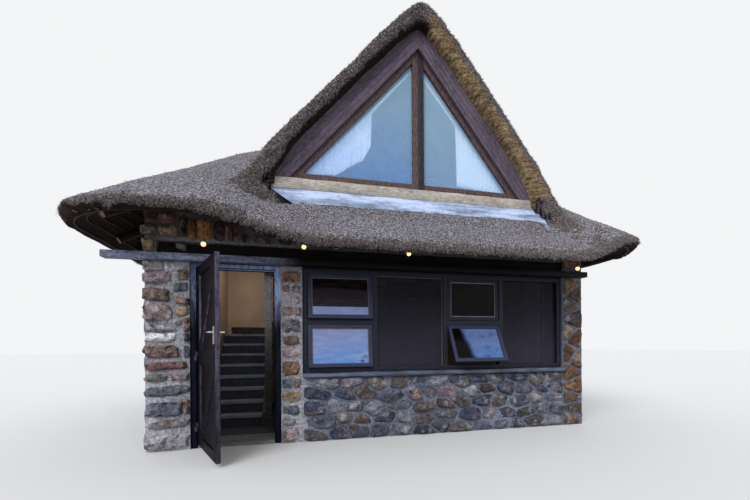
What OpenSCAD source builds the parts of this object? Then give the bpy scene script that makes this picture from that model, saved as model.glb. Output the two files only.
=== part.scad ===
// Thatched stone cottage with a flat window front, a round back and a glazed A-frame dormer.
// Millimetres. The front faces -Y, Z is up, and the origin lies on the ground
// under the roof's apex, which is also the middle of the round back wall.

/* [Stone walls] */
// Width of the flat front
front_w = 5700; // [5200:10:6400]
// Distance from the front face back to the middle of the round end
straight_depth = 3000; // [2700:10:3600]
// Thickness of the stone walls
wall_t = 400; // [300:5:450]
// Width of the pier left of the door
left_pier_w = 452; // [400:1:600]
// Width of the pier between the door and the windows
middle_pier_w = 253; // [200:1:350]
// Width of the pier right of the windows
right_pier_w = 325; // [250:1:500]
// Number of segments in the round wall
round_segments = 6; // [4:1:6]
// Thickness of the floor
floor_t = 40; // [30:1:60]

/* [Lintel and rail] */
// Height of the lintel beam
lintel_h = 234; // [180:1:280]
// Depth of the lintel beam
lintel_d = 300; // [200:5:300]
// How far the lintel stands back from the wall's face
lintel_back = 30; // [10:1:60]
// Distance of the lintel's ends from the front's corners
lintel_end = 110; // [60:5:180]
// Height of the rail along the front
rail_h = 74; // [50:1:100]
// How far the rail stands out from the wall's face
rail_out = 120; // [80:1:150]
// Length of the rail that runs out past the left corner
rail_left = 380; // [200:10:500]

/* [Entrance door] */
// Width over the door frame
door_frame_w = 998; // [900:1:1100]
// Width of each jamb
jamb_w = 65; // [50:1:80]
// Depth of the door frame
door_frame_d = 120; // [100:1:150]
// How far the door frame stands back from the wall's face
door_back = 20; // [10:1:60]
// Height of the door leaf
leaf_h = 2020; // [1900:1:2040]
// Thickness of the door leaf
leaf_t = 44; // [38:1:50]
// Running gap round the door leaf
leaf_gap = 6; // [5:0.5:9]
// Height of the door frame's head
head_h = 44; // [35:1:70]
// How far the door frame's stops stand into the opening
stop_w = 14; // [10:1:20]
// Height of the threshold
threshold_h = 40; // [30:1:60]
// Width of the leaf's stiles and top rail
stile_w = 105; // [90:1:130]
// Height of the leaf's bottom rail
bottom_rail_h = 100; // [100:1:260]
// Height of the two rails where the leaf's upper and lower halves meet
lock_rail_h = 186; // [140:1:220]
// Height of the line between the leaf's two halves above its foot
lock_rail_z = 998; // [850:1:1050]
// How far the boards lie behind the leaf's framing
panel_recess = 20; // [8:1:24]
// Width of the leaf's diagonal braces
brace_w = 90; // [70:1:110]
// Width of the boards on the leaf's inner face
leaf_board_w = 104; // [90:1:125]
// Width of the grooves between the leaf's boards and between its halves
groove_w = 5; // [3:0.5:8]
// Depth of these grooves
groove_d = 3; // [2:0.5:5]
// Height of the middle of the handle's plates above the leaf's foot
handle_h = 1225; // [1120:5:1300]
// Distance of the hinge pin in front of the leaf's face
pin_out = 12; // [11:0.5:16]
// Diameter of the hinge pin
pin_d = 9; // [7:0.5:10]
// Diameter of the hinge knuckle
knuckle_d = 17; // [14:0.5:18]
// Height of each hinge
hinge_h = 100; // [80:1:140]
// Angle at which the door stands open
door_open = 67; // [50:1:80]

/* [Window band] */
// Height of the wall under the windows
sill_wall_h = 780; // [700:1:850]
// Thickness of the plastered sill
sill_h = 48; // [35:1:60]
// How far the sill stands out from the wall's face
sill_out = 65; // [40:1:90]
// How far the window frame stands back from the wall's face
window_back = 30; // [20:1:60]
// Depth of the window frame
window_d = 90; // [70:1:110]
// Width of the window frame's members
window_bar = 62; // [50:1:75]
// Width of the first bay, with two hung sashes
bay_1_w = 907; // [800:1:1000]
// Width of the second bay, one fixed pane
bay_2_w = 970; // [850:1:1100]
// Width of the third bay, with two hung sashes
bay_3_w = 830; // [750:1:900]
// Height of the middle of the transoms
transom_z = 1460; // [1350:1:1550]
// Face width of a sash's members
sash_bar = 48; // [38:1:60]
// Thickness of a sash
sash_t = 40; // [32:1:46]
// Gap between a sash and its frame
sash_gap = 4; // [3:0.5:6]
// How far the sashes stand back from the face of their frame
sash_back = 10; // [6:1:16]
// Opening angle of the two left sashes
left_sash_open = 7; // [2:0.5:14]
// Opening angle of the lower right sash
right_sash_open = 27; // [10:0.5:35]
// Thickness of the panes
glass_t = 6; // [4:0.5:8]

/* [Thatched roof] */
// Overhang of the thatch in front of the front wall
eave_front = 750; // [650:5:850]
// Overhang of the thatch round the sides and the back
eave_side = 800; // [700:5:850]
// Radius of the eave's front corners
eave_corner = 950; // [800:10:1050]
// Height of the eave's upper edge above the lintel's underside
eave_rise = 434; // [380:2:520]
// How far the eave dips along the front
eave_dip = 270; // [200:5:290]
// Distance from the front's left corner at which the eave starts to dip
dip_start = 550; // [500:10:600]
// Distance from the front's left corner at which the eave reaches its full dip
dip_full = 1850; // [1750:10:1950]
// How far past the front's right corner the dip ends
dip_past = 250; // [200:10:300]
// Height of the eave's cut face
eave_cut = 115; // [90:1:130]
// How far the eave's cut face leans in
eave_lean = 60; // [30:1:80]
// Height of the roof's apex above the eave
roof_rise = 3050; // [2950:10:3250]
// Height of the thatch at the apex, measured straight down
apex_t = 300; // [260:5:340]
// Swell of the thatch between the eave and the apex
thatch_swell = 60; // [20:5:80]
// Diameter of the rafter poles
rafter_d = 90; // [70:1:100]
// Height of the timber plate on the walls
plate_h = 150; // [150:1:200]
// Width of the timber plate on the walls
plate_w = 110; // [80:1:140]

/* [A-frame dormer] */
// Distance of the dormer's peak right of the roof's apex
dormer_x = 315; // [100:5:400]
// Run of the dormer's left slope, from its peak to its foot
dormer_left = 1815; // [1700:5:1850]
// Run of the dormer's right slope, from its peak to its foot
dormer_right = 1620; // [1550:5:1700]
// Height of the dormer's timber peak above its sill
dormer_rise = 2030; // [1950:5:2060]
// Height of the top of the dormer's sill beam above the lintel's underside
dormer_sill_rise = 1002; // [970:1:1040]
// Height of the dormer's sill beam
dormer_sill_h = 135; // [110:1:150]
// Distance of the dormer's frame in front of the wall's face
dormer_out = 100; // [60:5:140]
// Width of the barge boards
barge_w = 150; // [110:1:170]
// Thickness of the barge boards
barge_t = 45; // [30:1:60]
// Face width of the dormer's inner frame
dormer_bar = 140; // [120:1:170]
// Depth of the dormer's inner frame
dormer_frame_d = 80; // [60:1:100]
// Width of the dormer's double mullion
mullion_w = 150; // [110:1:170]
// Height of the dormer's bottom rail
dormer_rail_h = 88; // [60:1:110]
// Thickness of the dormer's thatch
dormer_thatch_t = 200; // [160:5:230]
// How far the thatch stands in front of the barge boards
verge_out = 150; // [100:5:200]
// Length of the weathered apron below the dormer
apron_run = 210; // [150:5:260]
// Thickness of the apron's lower edge
apron_t = 15; // [10:1:25]
// Width of the left curtain at its foot
curtain_left_w = 640; // [500:10:750]
// Width of the right curtain at its foot
curtain_right_w = 850; // [700:10:950]
// Height of the curtains
curtain_h = 900; // [700:10:1000]

/* [Loft and stair] */
// Height of the loft joists
joist_h = 150; // [120:5:170]
// Width of the loft joists
joist_w = 60; // [50:1:80]
// Spacing of the loft joists
joist_step = 450; // [400:5:600]
// Thickness of the loft boards
loft_t = 40; // [30:1:45]
// Number of risers from floor to loft
risers = 15; // [14:1:16]
// Number of risers up to the landing, where the stair turns
landing_riser = 8; // [7:1:9]
// Going of each step
going = 200; // [180:5:205]
// How far the loft's stair well starts behind the lower flight's foot
well_back = 600; // [500:10:700]
// Length of the lower flight's side boards where they stand on the floor
string_foot = 300; // [200:10:400]
// Width of the lower flight's treads
stair_w = 710; // [650:5:730]
// Width of the upper flight's treads
upper_w = 580; // [500:5:620]
// Thickness of the stair's side boards
string_t = 40; // [30:1:45]
// Thickness of a tread
tread_t = 36; // [28:1:40]
// Width of the post beside the first step
post_w = 95; // [80:1:110]
// Thickness of the wall behind the landing
stair_wall_t = 80; // [60:5:120]
// Height of the wall behind the landing above the loft's boards
stair_wall_rise = 300; // [200:5:350]

/* [Hidden] */

seat = 0.3;
front_y = -straight_depth;
half_w = front_w / 2;
inner_r = half_w - wall_t;
left_x = -half_w;

// Heights that follow from the door: its leaf and frame carry the lintel, and the roof follows the lintel
leaf_z = threshold_h + leaf_gap;
door_head_z = leaf_z + leaf_h + leaf_gap;
lintel_z = door_head_z + head_h;
loft_z = lintel_z + lintel_h;
eave_z = lintel_z + eave_rise;
apex_z = eave_z + roof_rise;
dormer_sill_z = lintel_z + dormer_sill_rise;

// Openings along the front, from left to right
door_x0 = left_x + left_pier_w;
door_x1 = door_x0 + door_frame_w;
window_x0 = door_x1 + middle_pier_w;
window_x1 = half_w - right_pier_w;
mullion_1 = window_x0 + bay_1_w;
mullion_2 = mullion_1 + bay_2_w;
mullion_3 = mullion_2 + bay_3_w;

// Roof outline and its heights
roof_x = half_w + eave_side;
roof_y = straight_depth + eave_front;
inner_apex_z = apex_z - apex_t;
dip_left_start = left_x + dip_start;
dip_left_end = left_x + dip_full;
dip_right_start = half_w + dip_past;
dip_right_end = half_w - dip_start;
front_step = 225;
front_run = 2 * (roof_x - eave_corner);
front_count = ceil(front_run / front_step);
corner_steps = 6;
back_steps = 32;
side_steps = 4;
roof_levels = 5;

function ease(a, b, v) = let (t = max(0, min(1, (v - a) / (b - a)))) t * t * (3 - 2 * t);
function dip_at(x, y) = y > front_y ? 0
    : eave_dip * ease(dip_left_start, dip_left_end, x) * ease(dip_right_start, dip_right_end, x);

// Points of the eave's outline in plan, counter-clockwise from the front left corner
roof_outline = concat(
    [for (i = [0:corner_steps]) let (a = 180 + 90 * i / corner_steps)
        [-roof_x + eave_corner + eave_corner * cos(a), -roof_y + eave_corner + eave_corner * sin(a)]],
    [for (i = [1:front_count - 1]) [-roof_x + eave_corner + front_run * i / front_count, -roof_y]],
    [for (i = [0:corner_steps]) let (a = 270 + 90 * i / corner_steps)
        [roof_x - eave_corner + eave_corner * cos(a), -roof_y + eave_corner + eave_corner * sin(a)]],
    [for (i = [1:side_steps - 1]) [roof_x, (-roof_y + eave_corner) * (1 - i / side_steps)]],
    [for (i = [0:back_steps]) let (a = 180 * i / back_steps) [roof_x * cos(a), roof_x * sin(a)]],
    [for (i = [1:side_steps - 1]) [-roof_x, (-roof_y + eave_corner) * i / side_steps]]);
roof_n = len(roof_outline);
lean_share = 1 - eave_lean / roof_x;
// The side plates start this far behind the front wall, where the roof is high enough for them
plate_back = wall_t;
rafter_start = 0.05;
side_rafter_step = 600;

function swell_at(k) = thatch_swell * 4 * k * (1 - k);
function eave_top(p) = eave_z - dip_at(p[0], p[1]);
function roof_point(i, k) = let (p = roof_outline[i], z = eave_top(p))
    [p[0] * (1 - k), p[1] * (1 - k), z + (apex_z - z) * k + swell_at(k)];
function under_point(p) = [p[0] * lean_share, p[1] * lean_share, eave_top(p) - eave_cut];

// Height of the thatch's underside over the side walls at distance x from the middle line
function side_under_z(x) = let (low = eave_z - eave_cut)
    inner_apex_z - (inner_apex_z - low) * x / (roof_x * lean_share);
// The same over the front wall, where the eave dips
function front_under_z(y) = let (low = eave_z - eave_dip - eave_cut)
    inner_apex_z - (inner_apex_z - low) * y / (roof_y * lean_share);
// Height of the thatch's upper side over the front, where the eave dips
function front_top_z(y) = let (low = eave_z - eave_dip, k = 1 - y / roof_y)
    low + (apex_z - low) * k + swell_at(k);
under_slope = atan((inner_apex_z - eave_z + eave_cut) / (roof_x * lean_share));
front_slope = atan((inner_apex_z - eave_z + eave_dip + eave_cut) / (roof_y * lean_share));
rafter_drop = rafter_d / cos(under_slope) + 2 * seat;
front_rafter_drop = rafter_d / cos(front_slope) + 2 * seat;
plate_line = half_w - wall_t / 2;
side_plate_top = side_under_z(plate_line + plate_w / 2) - rafter_drop;
front_plate_top = front_under_z(straight_depth - wall_t / 2 + plate_w / 2) - front_rafter_drop;
side_wall_h = side_plate_top - plate_h;
front_wall_h = front_plate_top - plate_h;
// The front corners are lower, because the rounded eave brings the thatch down over them
corner_far = norm([half_w, straight_depth]);
corner_turn = (half_w * (roof_x - eave_corner) + straight_depth * (roof_y - eave_corner)) / corner_far;
corner_reach = corner_turn + sqrt(corner_turn * corner_turn + eave_corner * eave_corner
    - (roof_x - eave_corner) * (roof_x - eave_corner) - (roof_y - eave_corner) * (roof_y - eave_corner));
corner_under_z = inner_apex_z
    - (inner_apex_z - eave_z + eave_cut) * corner_far / (corner_reach * lean_share);
pier_h = corner_under_z - rafter_drop - 8;

// Dormer slopes: distances t are measured square to each slope, outwards from the timber's edge
dormer_l = atan(dormer_rise / dormer_left);
dormer_r = atan(dormer_rise / dormer_right);
dormer_peak = dormer_sill_z + dormer_rise;
function peak(t) = let (u = t * (1 / cos(dormer_r) - 1 / cos(dormer_l)) / (tan(dormer_l) + tan(dormer_r)))
    [dormer_x + u, dormer_peak + t / cos(dormer_l) + u * tan(dormer_l)];
function left_edge(z, t) = dormer_x + (z - dormer_peak - t / cos(dormer_l)) / tan(dormer_l);
function right_edge(z, t) = dormer_x - (z - dormer_peak - t / cos(dormer_r)) / tan(dormer_r);
function gable(t, z) = [[left_edge(z, t), z], [right_edge(z, t), z], peak(t)];
ridge_round = 190;
function rounded_gable(t, z) = let (c = peak(t - ridge_round)) concat(
    [[left_edge(z, t), z], [right_edge(z, t), z]],
    [for (i = [0:8]) let (a = 90 - dormer_r + (dormer_l + dormer_r) * i / 8)
        [c[0] + ridge_round * cos(a), c[1] + ridge_round * sin(a)]]);
barge_y = front_y - dormer_out - barge_t;
frame_y = front_y - dormer_out;
verge_y = barge_y - verge_out;
dormer_glass_y = frame_y + dormer_frame_d / 2;
sill_y = barge_y - 15;
sill_d = 200;
dormer_base = dormer_sill_z - dormer_sill_h;
// The dormer's thatch is drawn down to this height and then cut by the main roof
dormer_thatch_z = eave_z - 50;
dormer_rafter_start = 350;
dormer_rafter_step = 550;

// Door: the hinge pin stands in front of the left jamb's inner edge
leaf_w = door_frame_w - 2 * jamb_w - 2 * leaf_gap;
door_y = front_y + door_back;
pin_x = door_x0 + jamb_w + leaf_gap / 2;
pin_y = door_y - pin_out;

// Draws an outline of X and Z as a slab from y0 back over the distance d
module slab_y(y0, d, outline) {
    translate([0, y0 + d, 0]) rotate([90, 0, 0]) linear_extrude(height = d) polygon(outline);
}

// Draws an outline of Y and Z as a slab from x0 over the distance w
module slab_x(x0, w, outline) {
    translate([x0, 0, 0]) rotate([90, 0, 90]) linear_extrude(height = w) polygon(outline);
}

module block(x0, x1, y0, y1, z0, z1) {
    translate([x0, y0, z0]) cube([x1 - x0, y1 - y0, z1 - z0]);
}

// A round pole between two points
module pole(a, b, d) {
    v = b - a;
    len_v = norm(v);
    translate(a) rotate([0, acos(v[2] / len_v), atan2(v[1], v[0])])
        cylinder(h = len_v, d = d, $fn = 24);
}

// The space inside the walls, drawn in plan, taken in by the distance inset
module inside_plan(inset) {
    r = inner_r - inset;
    y0 = front_y + wall_t + inset;
    union() {
        intersection() {
            circle(r = r, $fn = 120);
            translate([-r, 0]) square([2 * r, r]);
        }
        translate([-r, y0]) square([2 * r, -y0]);
    }
}

module floor_slab() {
    color("dimgray") linear_extrude(height = floor_t) inside_plan(seat);
}

// A front pier, with a pocket in its face for the lintel's end
module pier(x0, x1) {
    pocket_x0 = x0 > left_x ? x0 - 1 : left_x + lintel_end;
    pocket_x1 = x1 < half_w ? x1 + 1 : half_w - lintel_end;
    difference() {
        block(x0, x1, front_y, front_y + wall_t, 0, pier_h);
        block(pocket_x0, pocket_x1, front_y - 1, front_y + lintel_back + lintel_d,
            lintel_z, lintel_z + lintel_h);
    }
}

module left_pier() {
    color("tan") pier(left_x, door_x0);
}

module middle_pier() {
    color("tan") block(door_x1, window_x0, front_y, front_y + wall_t, 0, lintel_z);
}

module right_pier() {
    color("tan") pier(window_x1, half_w);
}

module sill_wall() {
    color("tan") block(window_x0, window_x1, front_y, front_y + wall_t, 0, sill_wall_h);
}

// The wall over the lintel follows the eave: high at the corners and lower where the eave dips
module upper_front_wall() {
    share = straight_depth / roof_y;
    low = lintel_z + lintel_h;
    color("sienna") slab_y(front_y, wall_t, [[door_x0, low], [window_x1, low], [window_x1, pier_h],
        [dip_right_end * share, front_wall_h], [dip_left_end * share, front_wall_h],
        [dip_left_start * share, pier_h], [door_x0, pier_h]]);
}

module side_wall(side) {
    x0 = side < 0 ? left_x : inner_r;
    block(x0, x0 + wall_t, front_y + wall_t, 0, 0, side_wall_h);
}

// The left side wall, with the short wall behind the stair's landing bonded into it
module left_wall() {
    color("tan") {
        side_wall(-1);
        block(left_x + wall_t - 1, well_x1 - seat, -stair_wall_t, 0, floor_t, loft_top + stair_wall_rise);
    }
}

module right_wall() {
    color("tan") side_wall(1);
}

// A segment of the round wall, a hair short of the next one
module round_wall(i) {
    step = 180 / round_segments;
    joint = 2 * asin(seat / 2 / half_w);
    color("tan") rotate([0, 0, (i - 1) * step]) rotate_extrude(angle = step - joint, $fn = 120)
        translate([inner_r, 0]) square([wall_t, side_wall_h]);
}

// Timber plate under the rafters round the sides and back, and a lower one on the front wall
module wall_plate() {
    plate_in = plate_line - plate_w / 2;
    plate_front = front_y + wall_t + plate_back;
    share = straight_depth / roof_y;
    color("saddlebrown") {
        rotate_extrude(angle = 180, $fn = 120) translate([plate_in, side_wall_h]) square([plate_w, plate_h]);
        for (x = [-plate_line, plate_line])
            translate([x - plate_w / 2, plate_front, side_wall_h]) cube([plate_w, -plate_front, plate_h]);
        translate([dip_left_end * share, front_y + wall_t / 2 - plate_w / 2, front_wall_h])
            cube([(dip_right_end - dip_left_end) * share, plate_w, plate_h]);
    }
}

module lintel_beam() {
    y0 = front_y + lintel_back;
    color("#3b2a22") block(left_x + lintel_end, half_w - lintel_end, y0, y0 + lintel_d,
        lintel_z, lintel_z + lintel_h);
}

module front_rail() {
    color("slategray") block(left_x - rail_left, half_w, front_y - rail_out, front_y - seat,
        lintel_z, lintel_z + rail_h);
}

module door_frame() {
    x0 = door_x0;
    x1 = door_x1;
    stop_y = door_y + leaf_t + leaf_gap;
    color("#1d2433") difference() {
        block(x0, x1, door_y, door_y + door_frame_d, 0, lintel_z);
        block(x0 + jamb_w, x1 - jamb_w, door_y - 1, stop_y, -1, door_head_z);
        block(x0 + jamb_w + stop_w, x1 - jamb_w - stop_w, stop_y - 1, door_y + door_frame_d + 1,
            -1, door_head_z - stop_w);
    }
}

module door_threshold() {
    color("#4b3a2f") block(door_x0 + jamb_w + stop_w, door_x1 - jamb_w - stop_w, door_y, front_y + wall_t,
        0, threshold_h);
}

// Places what is drawn for the closed door at its rest angle
module at_rest() {
    translate([pin_x, pin_y, 0]) rotate([0, 0, -door_open]) translate([-pin_x, -pin_y, 0]) children();
}

// The cut over one panel: what is left of it on both sides of the diagonal brace. The brace rises
// from the hinge side to the free side.
module panel_cut(x0, x1, z0, z1) {
    lean = atan2(z1 - z0, x1 - x0);
    half = brace_w / 2;
    du = half / sin(lean);
    dv = half / cos(lean);
    slab_y(door_y - 1, panel_recess + 1, [[x0, z0 + dv], [x1 - du, z1], [x0, z1]]);
    slab_y(door_y - 1, panel_recess + 1, [[x0 + du, z0], [x1, z0], [x1, z1 - dv]]);
}

// A framed and braced leaf whose two halves move as one: stiles, rails and braces outside,
// upright boards inside, and a fine line between the halves
module door_leaf() {
    x0 = door_x0 + jamb_w + leaf_gap;
    x1 = x0 + leaf_w;
    back_y = door_y + leaf_t;
    split_z = leaf_z + lock_rail_z;
    rail_top = split_z + lock_rail_h / 2;
    panels = [[leaf_z + bottom_rail_h, split_z - lock_rail_h / 2],
              [rail_top, leaf_z + leaf_h - stile_w]];
    color("#3d2530") at_rest() difference() {
        block(x0, x1, door_y, back_y, leaf_z, leaf_z + leaf_h);
        for (p = panels) panel_cut(x0 + stile_w, x1 - stile_w, p[0], p[1]);
        for (x = [x0 + stile_w:leaf_board_w:x1 - leaf_board_w / 2])
            block(x, x + groove_w, back_y - groove_d, back_y + 1, leaf_z - 1, leaf_z + leaf_h - stile_w);
        for (y = [door_y - 1, back_y - groove_d])
            block(x0 - 1, x1 + 1, y, y + groove_d + 1, split_z, split_z + groove_w);
        block(x1 - groove_d, x1 + 1, door_y - 1, back_y + 1, split_z, split_z + groove_w);
    }
}

handle_x = door_x0 + jamb_w + leaf_gap + leaf_w - 50;
handle_z = leaf_z + handle_h;
plate_size = [42, 6, 170];
lever_l = 105;

// Lever and plate on both faces of the leaf
module door_handle() {
    color("silver") at_rest() for (face = [-1, 1]) {
        y = face < 0 ? door_y : door_y + leaf_t;
        translate([handle_x, y, handle_z]) {
            translate([-plate_size[0] / 2, face < 0 ? -plate_size[1] : 0, -plate_size[2] / 2])
                cube(plate_size);
            translate([0, face * plate_size[1], 30]) rotate([face < 0 ? 90 : -90, 0, 0])
                cylinder(h = 38, d = 18, $fn = 32);
            translate([9, face * (plate_size[1] + 38), 30]) rotate([0, -90, 0])
                cylinder(h = lever_l, d = 16, $fn = 32);
        }
    }
}

hinge_zs = [for (share = [0.1, 0.5, 0.9]) leaf_z + leaf_h * share - hinge_h / 2];
hinge_plate = 26;
hinge_t = pin_out - knuckle_d / 2 + 2;

// The leaf's half of each hinge: an upper knuckle and a plate on the leaf's face
module door_hinges() {
    color("dimgray") at_rest() for (z = hinge_zs) translate([pin_x, pin_y, z + hinge_h / 2])
        difference() {
            union() {
                cylinder(h = hinge_h / 2, d = knuckle_d, $fn = 32);
                translate([0, pin_out - hinge_t, 0])
                    cube([leaf_gap / 2 + hinge_plate, hinge_t, hinge_h / 2]);
            }
            translate([0, 0, -1]) cylinder(h = hinge_h, d = pin_d + 2 * seat, $fn = 32);
        }
}

// The frame's half of each hinge: a lower knuckle with its pin and a plate on the jamb
module door_hinge_pins() {
    color("dimgray") for (z = hinge_zs) translate([pin_x, pin_y, z]) {
        cylinder(h = hinge_h / 2 - seat, d = knuckle_d, $fn = 32);
        cylinder(h = hinge_h - 1, d = pin_d, $fn = 32);
        translate([-hinge_plate, pin_out - hinge_t, 0])
            cube([hinge_plate, hinge_t, hinge_h / 2 - seat]);
    }
}

module window_sill() {
    color("gray") block(window_x0, window_x1, front_y - sill_out, front_y + wall_t,
        sill_wall_h, sill_wall_h + sill_h);
}

window_y = front_y + window_back;
frame_z0 = sill_wall_h + sill_h;
// Clear openings of the window frame: left, right, bottom and top of each light
bay_lights = [
    [window_x0 + window_bar, mullion_1 - window_bar / 2],
    [mullion_1 + window_bar / 2, mullion_2 - window_bar / 2],
    [mullion_2 + window_bar / 2, mullion_3 - window_bar / 2],
    [mullion_3 + window_bar / 2, window_x1 - window_bar]];
light_low = [frame_z0 + window_bar, transom_z - window_bar / 2];
light_high = [transom_z + window_bar / 2, lintel_z - window_bar];
light_full = [light_low[0], light_high[1]];

module light_hole(bay, rise) {
    block(bay[0], bay[1], window_y - 1, window_y + window_d + 1, rise[0], rise[1]);
}

module window_frame() {
    color("#1d2433") difference() {
        block(window_x0, window_x1, window_y, window_y + window_d, frame_z0, lintel_z);
        for (i = [0, 2]) {
            light_hole(bay_lights[i], light_low);
            light_hole(bay_lights[i], light_high);
        }
        for (i = [1, 3]) light_hole(bay_lights[i], light_full);
    }
}

// A top-hung sash: turned about its upper front edge, which seats under the frame, by the angle open
module hung(bay, rise, open) {
    translate([0, window_y + sash_back, rise[1] - seat]) rotate([-open, 0, 0])
        translate([0, -window_y - sash_back, -rise[1] + seat]) children();
}

module sash(bay, rise, open) {
    x0 = bay[0] + sash_gap;
    x1 = bay[1] - sash_gap;
    z0 = rise[0] + sash_gap;
    z1 = rise[1] - seat;
    y0 = window_y + sash_back;
    hung(bay, rise, open) difference() {
        block(x0, x1, y0, y0 + sash_t, z0, z1);
        block(x0 + sash_bar, x1 - sash_bar, y0 - 1, y0 + sash_t + 1, z0 + sash_bar, z1 - sash_bar);
    }
}

module sash_pane(bay, rise, open) {
    inset = sash_gap + sash_bar;
    y0 = window_y + sash_back + sash_t / 2 - glass_t / 2;
    hung(bay, rise, open)
        block(bay[0] + inset, bay[1] - inset, y0, y0 + glass_t, rise[0] + inset, rise[1] - seat - sash_bar);
}

module left_sashes() {
    color("#26324a") {
        sash(bay_lights[0], light_high, left_sash_open);
        sash(bay_lights[0], light_low, left_sash_open);
    }
}

module upper_right_sash() {
    color("#26324a") sash(bay_lights[2], light_high, 0);
}

module lower_right_sash() {
    color("#26324a") sash(bay_lights[2], light_low, right_sash_open);
}

module window_glass() {
    y0 = window_y + window_d / 2;
    color("lightblue") for (i = [1, 3])
        block(bay_lights[i][0], bay_lights[i][1], y0, y0 + glass_t, light_full[0], light_full[1]);
}

module sash_glass() {
    color("lightblue") {
        sash_pane(bay_lights[0], light_high, left_sash_open);
        sash_pane(bay_lights[0], light_low, left_sash_open);
        sash_pane(bay_lights[2], light_high, 0);
        sash_pane(bay_lights[2], light_low, right_sash_open);
    }
}

// Side faces between two rings of n points that start at the numbers a and b
function ring_faces(a, b, n) = [for (i = [0:n - 1]) let (j = (i + 1) % n) each
    [[a + i, b + i, a + j], [a + j, b + i, b + j]]];
function cap_faces(a, top, n, up) = [for (i = [0:n - 1]) let (j = (i + 1) % n)
    up ? [a + i, top, a + j] : [a + j, top, a + i]];
roof_rings = [for (k = [0:roof_levels - 1], i = [0:roof_n - 1]) roof_point(i, k / roof_levels)];
roof_skin = [for (k = [0:roof_levels - 2]) each ring_faces(k * roof_n, (k + 1) * roof_n, roof_n)];

// The thatch as a shell: the swelling outer skin, the leaning eave face and the straight underside
module roof_shell() {
    count = len(roof_rings);
    points = concat(roof_rings, [for (p = roof_outline) under_point(p)],
        [[0, 0, apex_z], [0, 0, inner_apex_z]]);
    faces = concat(roof_skin,
        cap_faces((roof_levels - 1) * roof_n, count + roof_n, roof_n, true),
        ring_faces(count, 0, roof_n),
        cap_faces(count, count + roof_n + 1, roof_n, false));
    polyhedron(points, faces, convexity = 6);
}

// Everything below the outer skin, used to cut what stands on the roof
module below_roof() {
    count = len(roof_rings);
    points = concat(roof_rings, [[0, 0, apex_z], [0, 0, eave_z / 2]]);
    faces = concat(roof_skin,
        cap_faces((roof_levels - 1) * roof_n, count, roof_n, true),
        cap_faces(0, count + 1, roof_n, false));
    polyhedron(points, faces, convexity = 6);
}

module main_thatch() {
    color("#7d6f5f") difference() {
        roof_shell();
        slab_y(sill_y, -sill_y, gable(0, dormer_base));
        sill_block();
    }
}

module dormer_thatch() {
    color("#86735c") difference() {
        slab_y(verge_y, -verge_y, rounded_gable(dormer_thatch_t, dormer_thatch_z));
        slab_y(verge_y - 1, -verge_y + 2, gable(0, dormer_thatch_z - 100));
        below_roof();
        sill_block();
    }
}

// Horizontal distance from the apex to the eave line between two points of the outline
function eave_run(a, b) = abs(a[0] * b[1] - a[1] * b[0]) / norm(b - a) * lean_share;
corner_mid = corner_steps / 2;
corner_run = min(eave_run(roof_outline[corner_mid - 1], roof_outline[corner_mid]),
    eave_run(roof_outline[corner_mid], roof_outline[corner_mid + 1]));
corner_slope = atan((inner_apex_z - eave_z + eave_cut) / corner_run);

// A point under the thatch on the line from the eave point p to the apex, where the roof slopes by slope
function toward_apex(p, share, slope) = let (q = under_point(p))
    [q[0] * (1 - share), q[1] * (1 - share),
     q[2] + (inner_apex_z - q[2]) * share - (rafter_d / 2) / cos(slope) - seat];

module rafter(p, top, slope) {
    pole(toward_apex(p, rafter_start, slope), toward_apex(p, top, slope), rafter_d);
}

// Pole rafters: long and short ones by turns round the back, one over each front corner,
// and short ones over the front wall
module rafters() {
    color("#4a3527") {
        for (i = [0:2:back_steps]) let (a = 180 * i / back_steps)
            rafter([roof_x * cos(a), roof_x * sin(a)], i % 4 == 0 ? 0.9 : 0.8, under_slope);
        for (side = [-1, 1], i = [1:4])
            rafter([side * roof_x, -side_rafter_step * i], 0.72, under_slope);
        for (x = [dip_left_end + 150:side_rafter_step:dip_right_end - 100])
            rafter([x, -roof_y], 0.26, front_slope);
        for (side = [-1, 1]) {
            inset = eave_corner * (1 - cos(45));
            rafter([side * (roof_x - inset), -roof_y + inset], 0.72, corner_slope);
        }
    }
}

// Pairs of poles under the dormer's thatch
module dormer_rafters() {
    r = rafter_d / 2;
    foot = dormer_sill_z + 40;
    top = peak(-r - seat);
    last = -straight_depth + 3 * dormer_rafter_step;
    color("#4a3527") for (y = [frame_y + dormer_rafter_start:dormer_rafter_step:last]) {
        low = foot + (y - frame_y) * 0.75;
        pole([left_edge(low, -r - seat), y, low], [top[0] - r, y, top[1] - r * tan(dormer_l)], rafter_d);
        pole([right_edge(low, -r - seat), y, low], [top[0] + r, y, top[1] - r * tan(dormer_r)], rafter_d);
    }
}

module barge_boards() {
    color("#2c211d") difference() {
        slab_y(barge_y, barge_t, gable(0, dormer_sill_z));
        slab_y(barge_y - 1, barge_t + 2, gable(-barge_w, dormer_sill_z - 10));
    }
}

function dormer_light(side) = let (
        t = -barge_w / 2 - dormer_bar,
        z = dormer_sill_z + dormer_rail_h,
        x = dormer_x + side * mullion_w / 2,
        slope = side < 0 ? dormer_l : dormer_r,
        top = dormer_peak + t / cos(slope) - mullion_w / 2 * tan(slope))
    [[x, z], [x, top], [side < 0 ? left_edge(z, t) : right_edge(z, t), z]];

module dormer_frame() {
    color("#6b3f2a") difference() {
        slab_y(frame_y, dormer_frame_d, gable(-barge_w / 2, dormer_sill_z));
        for (side = [-1, 1]) slab_y(frame_y - 1, dormer_frame_d + 2, dormer_light(side));
    }
}

module dormer_glass() {
    color("lightblue") for (side = [-1, 1]) slab_y(dormer_glass_y, glass_t, dormer_light(side));
}

// The sill beam's ends bed in the thatch
module sill_block() {
    block(left_edge(dormer_sill_z, 60), right_edge(dormer_sill_z, 0),
        sill_y, sill_y + sill_d, dormer_base, dormer_sill_z);
}

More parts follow.
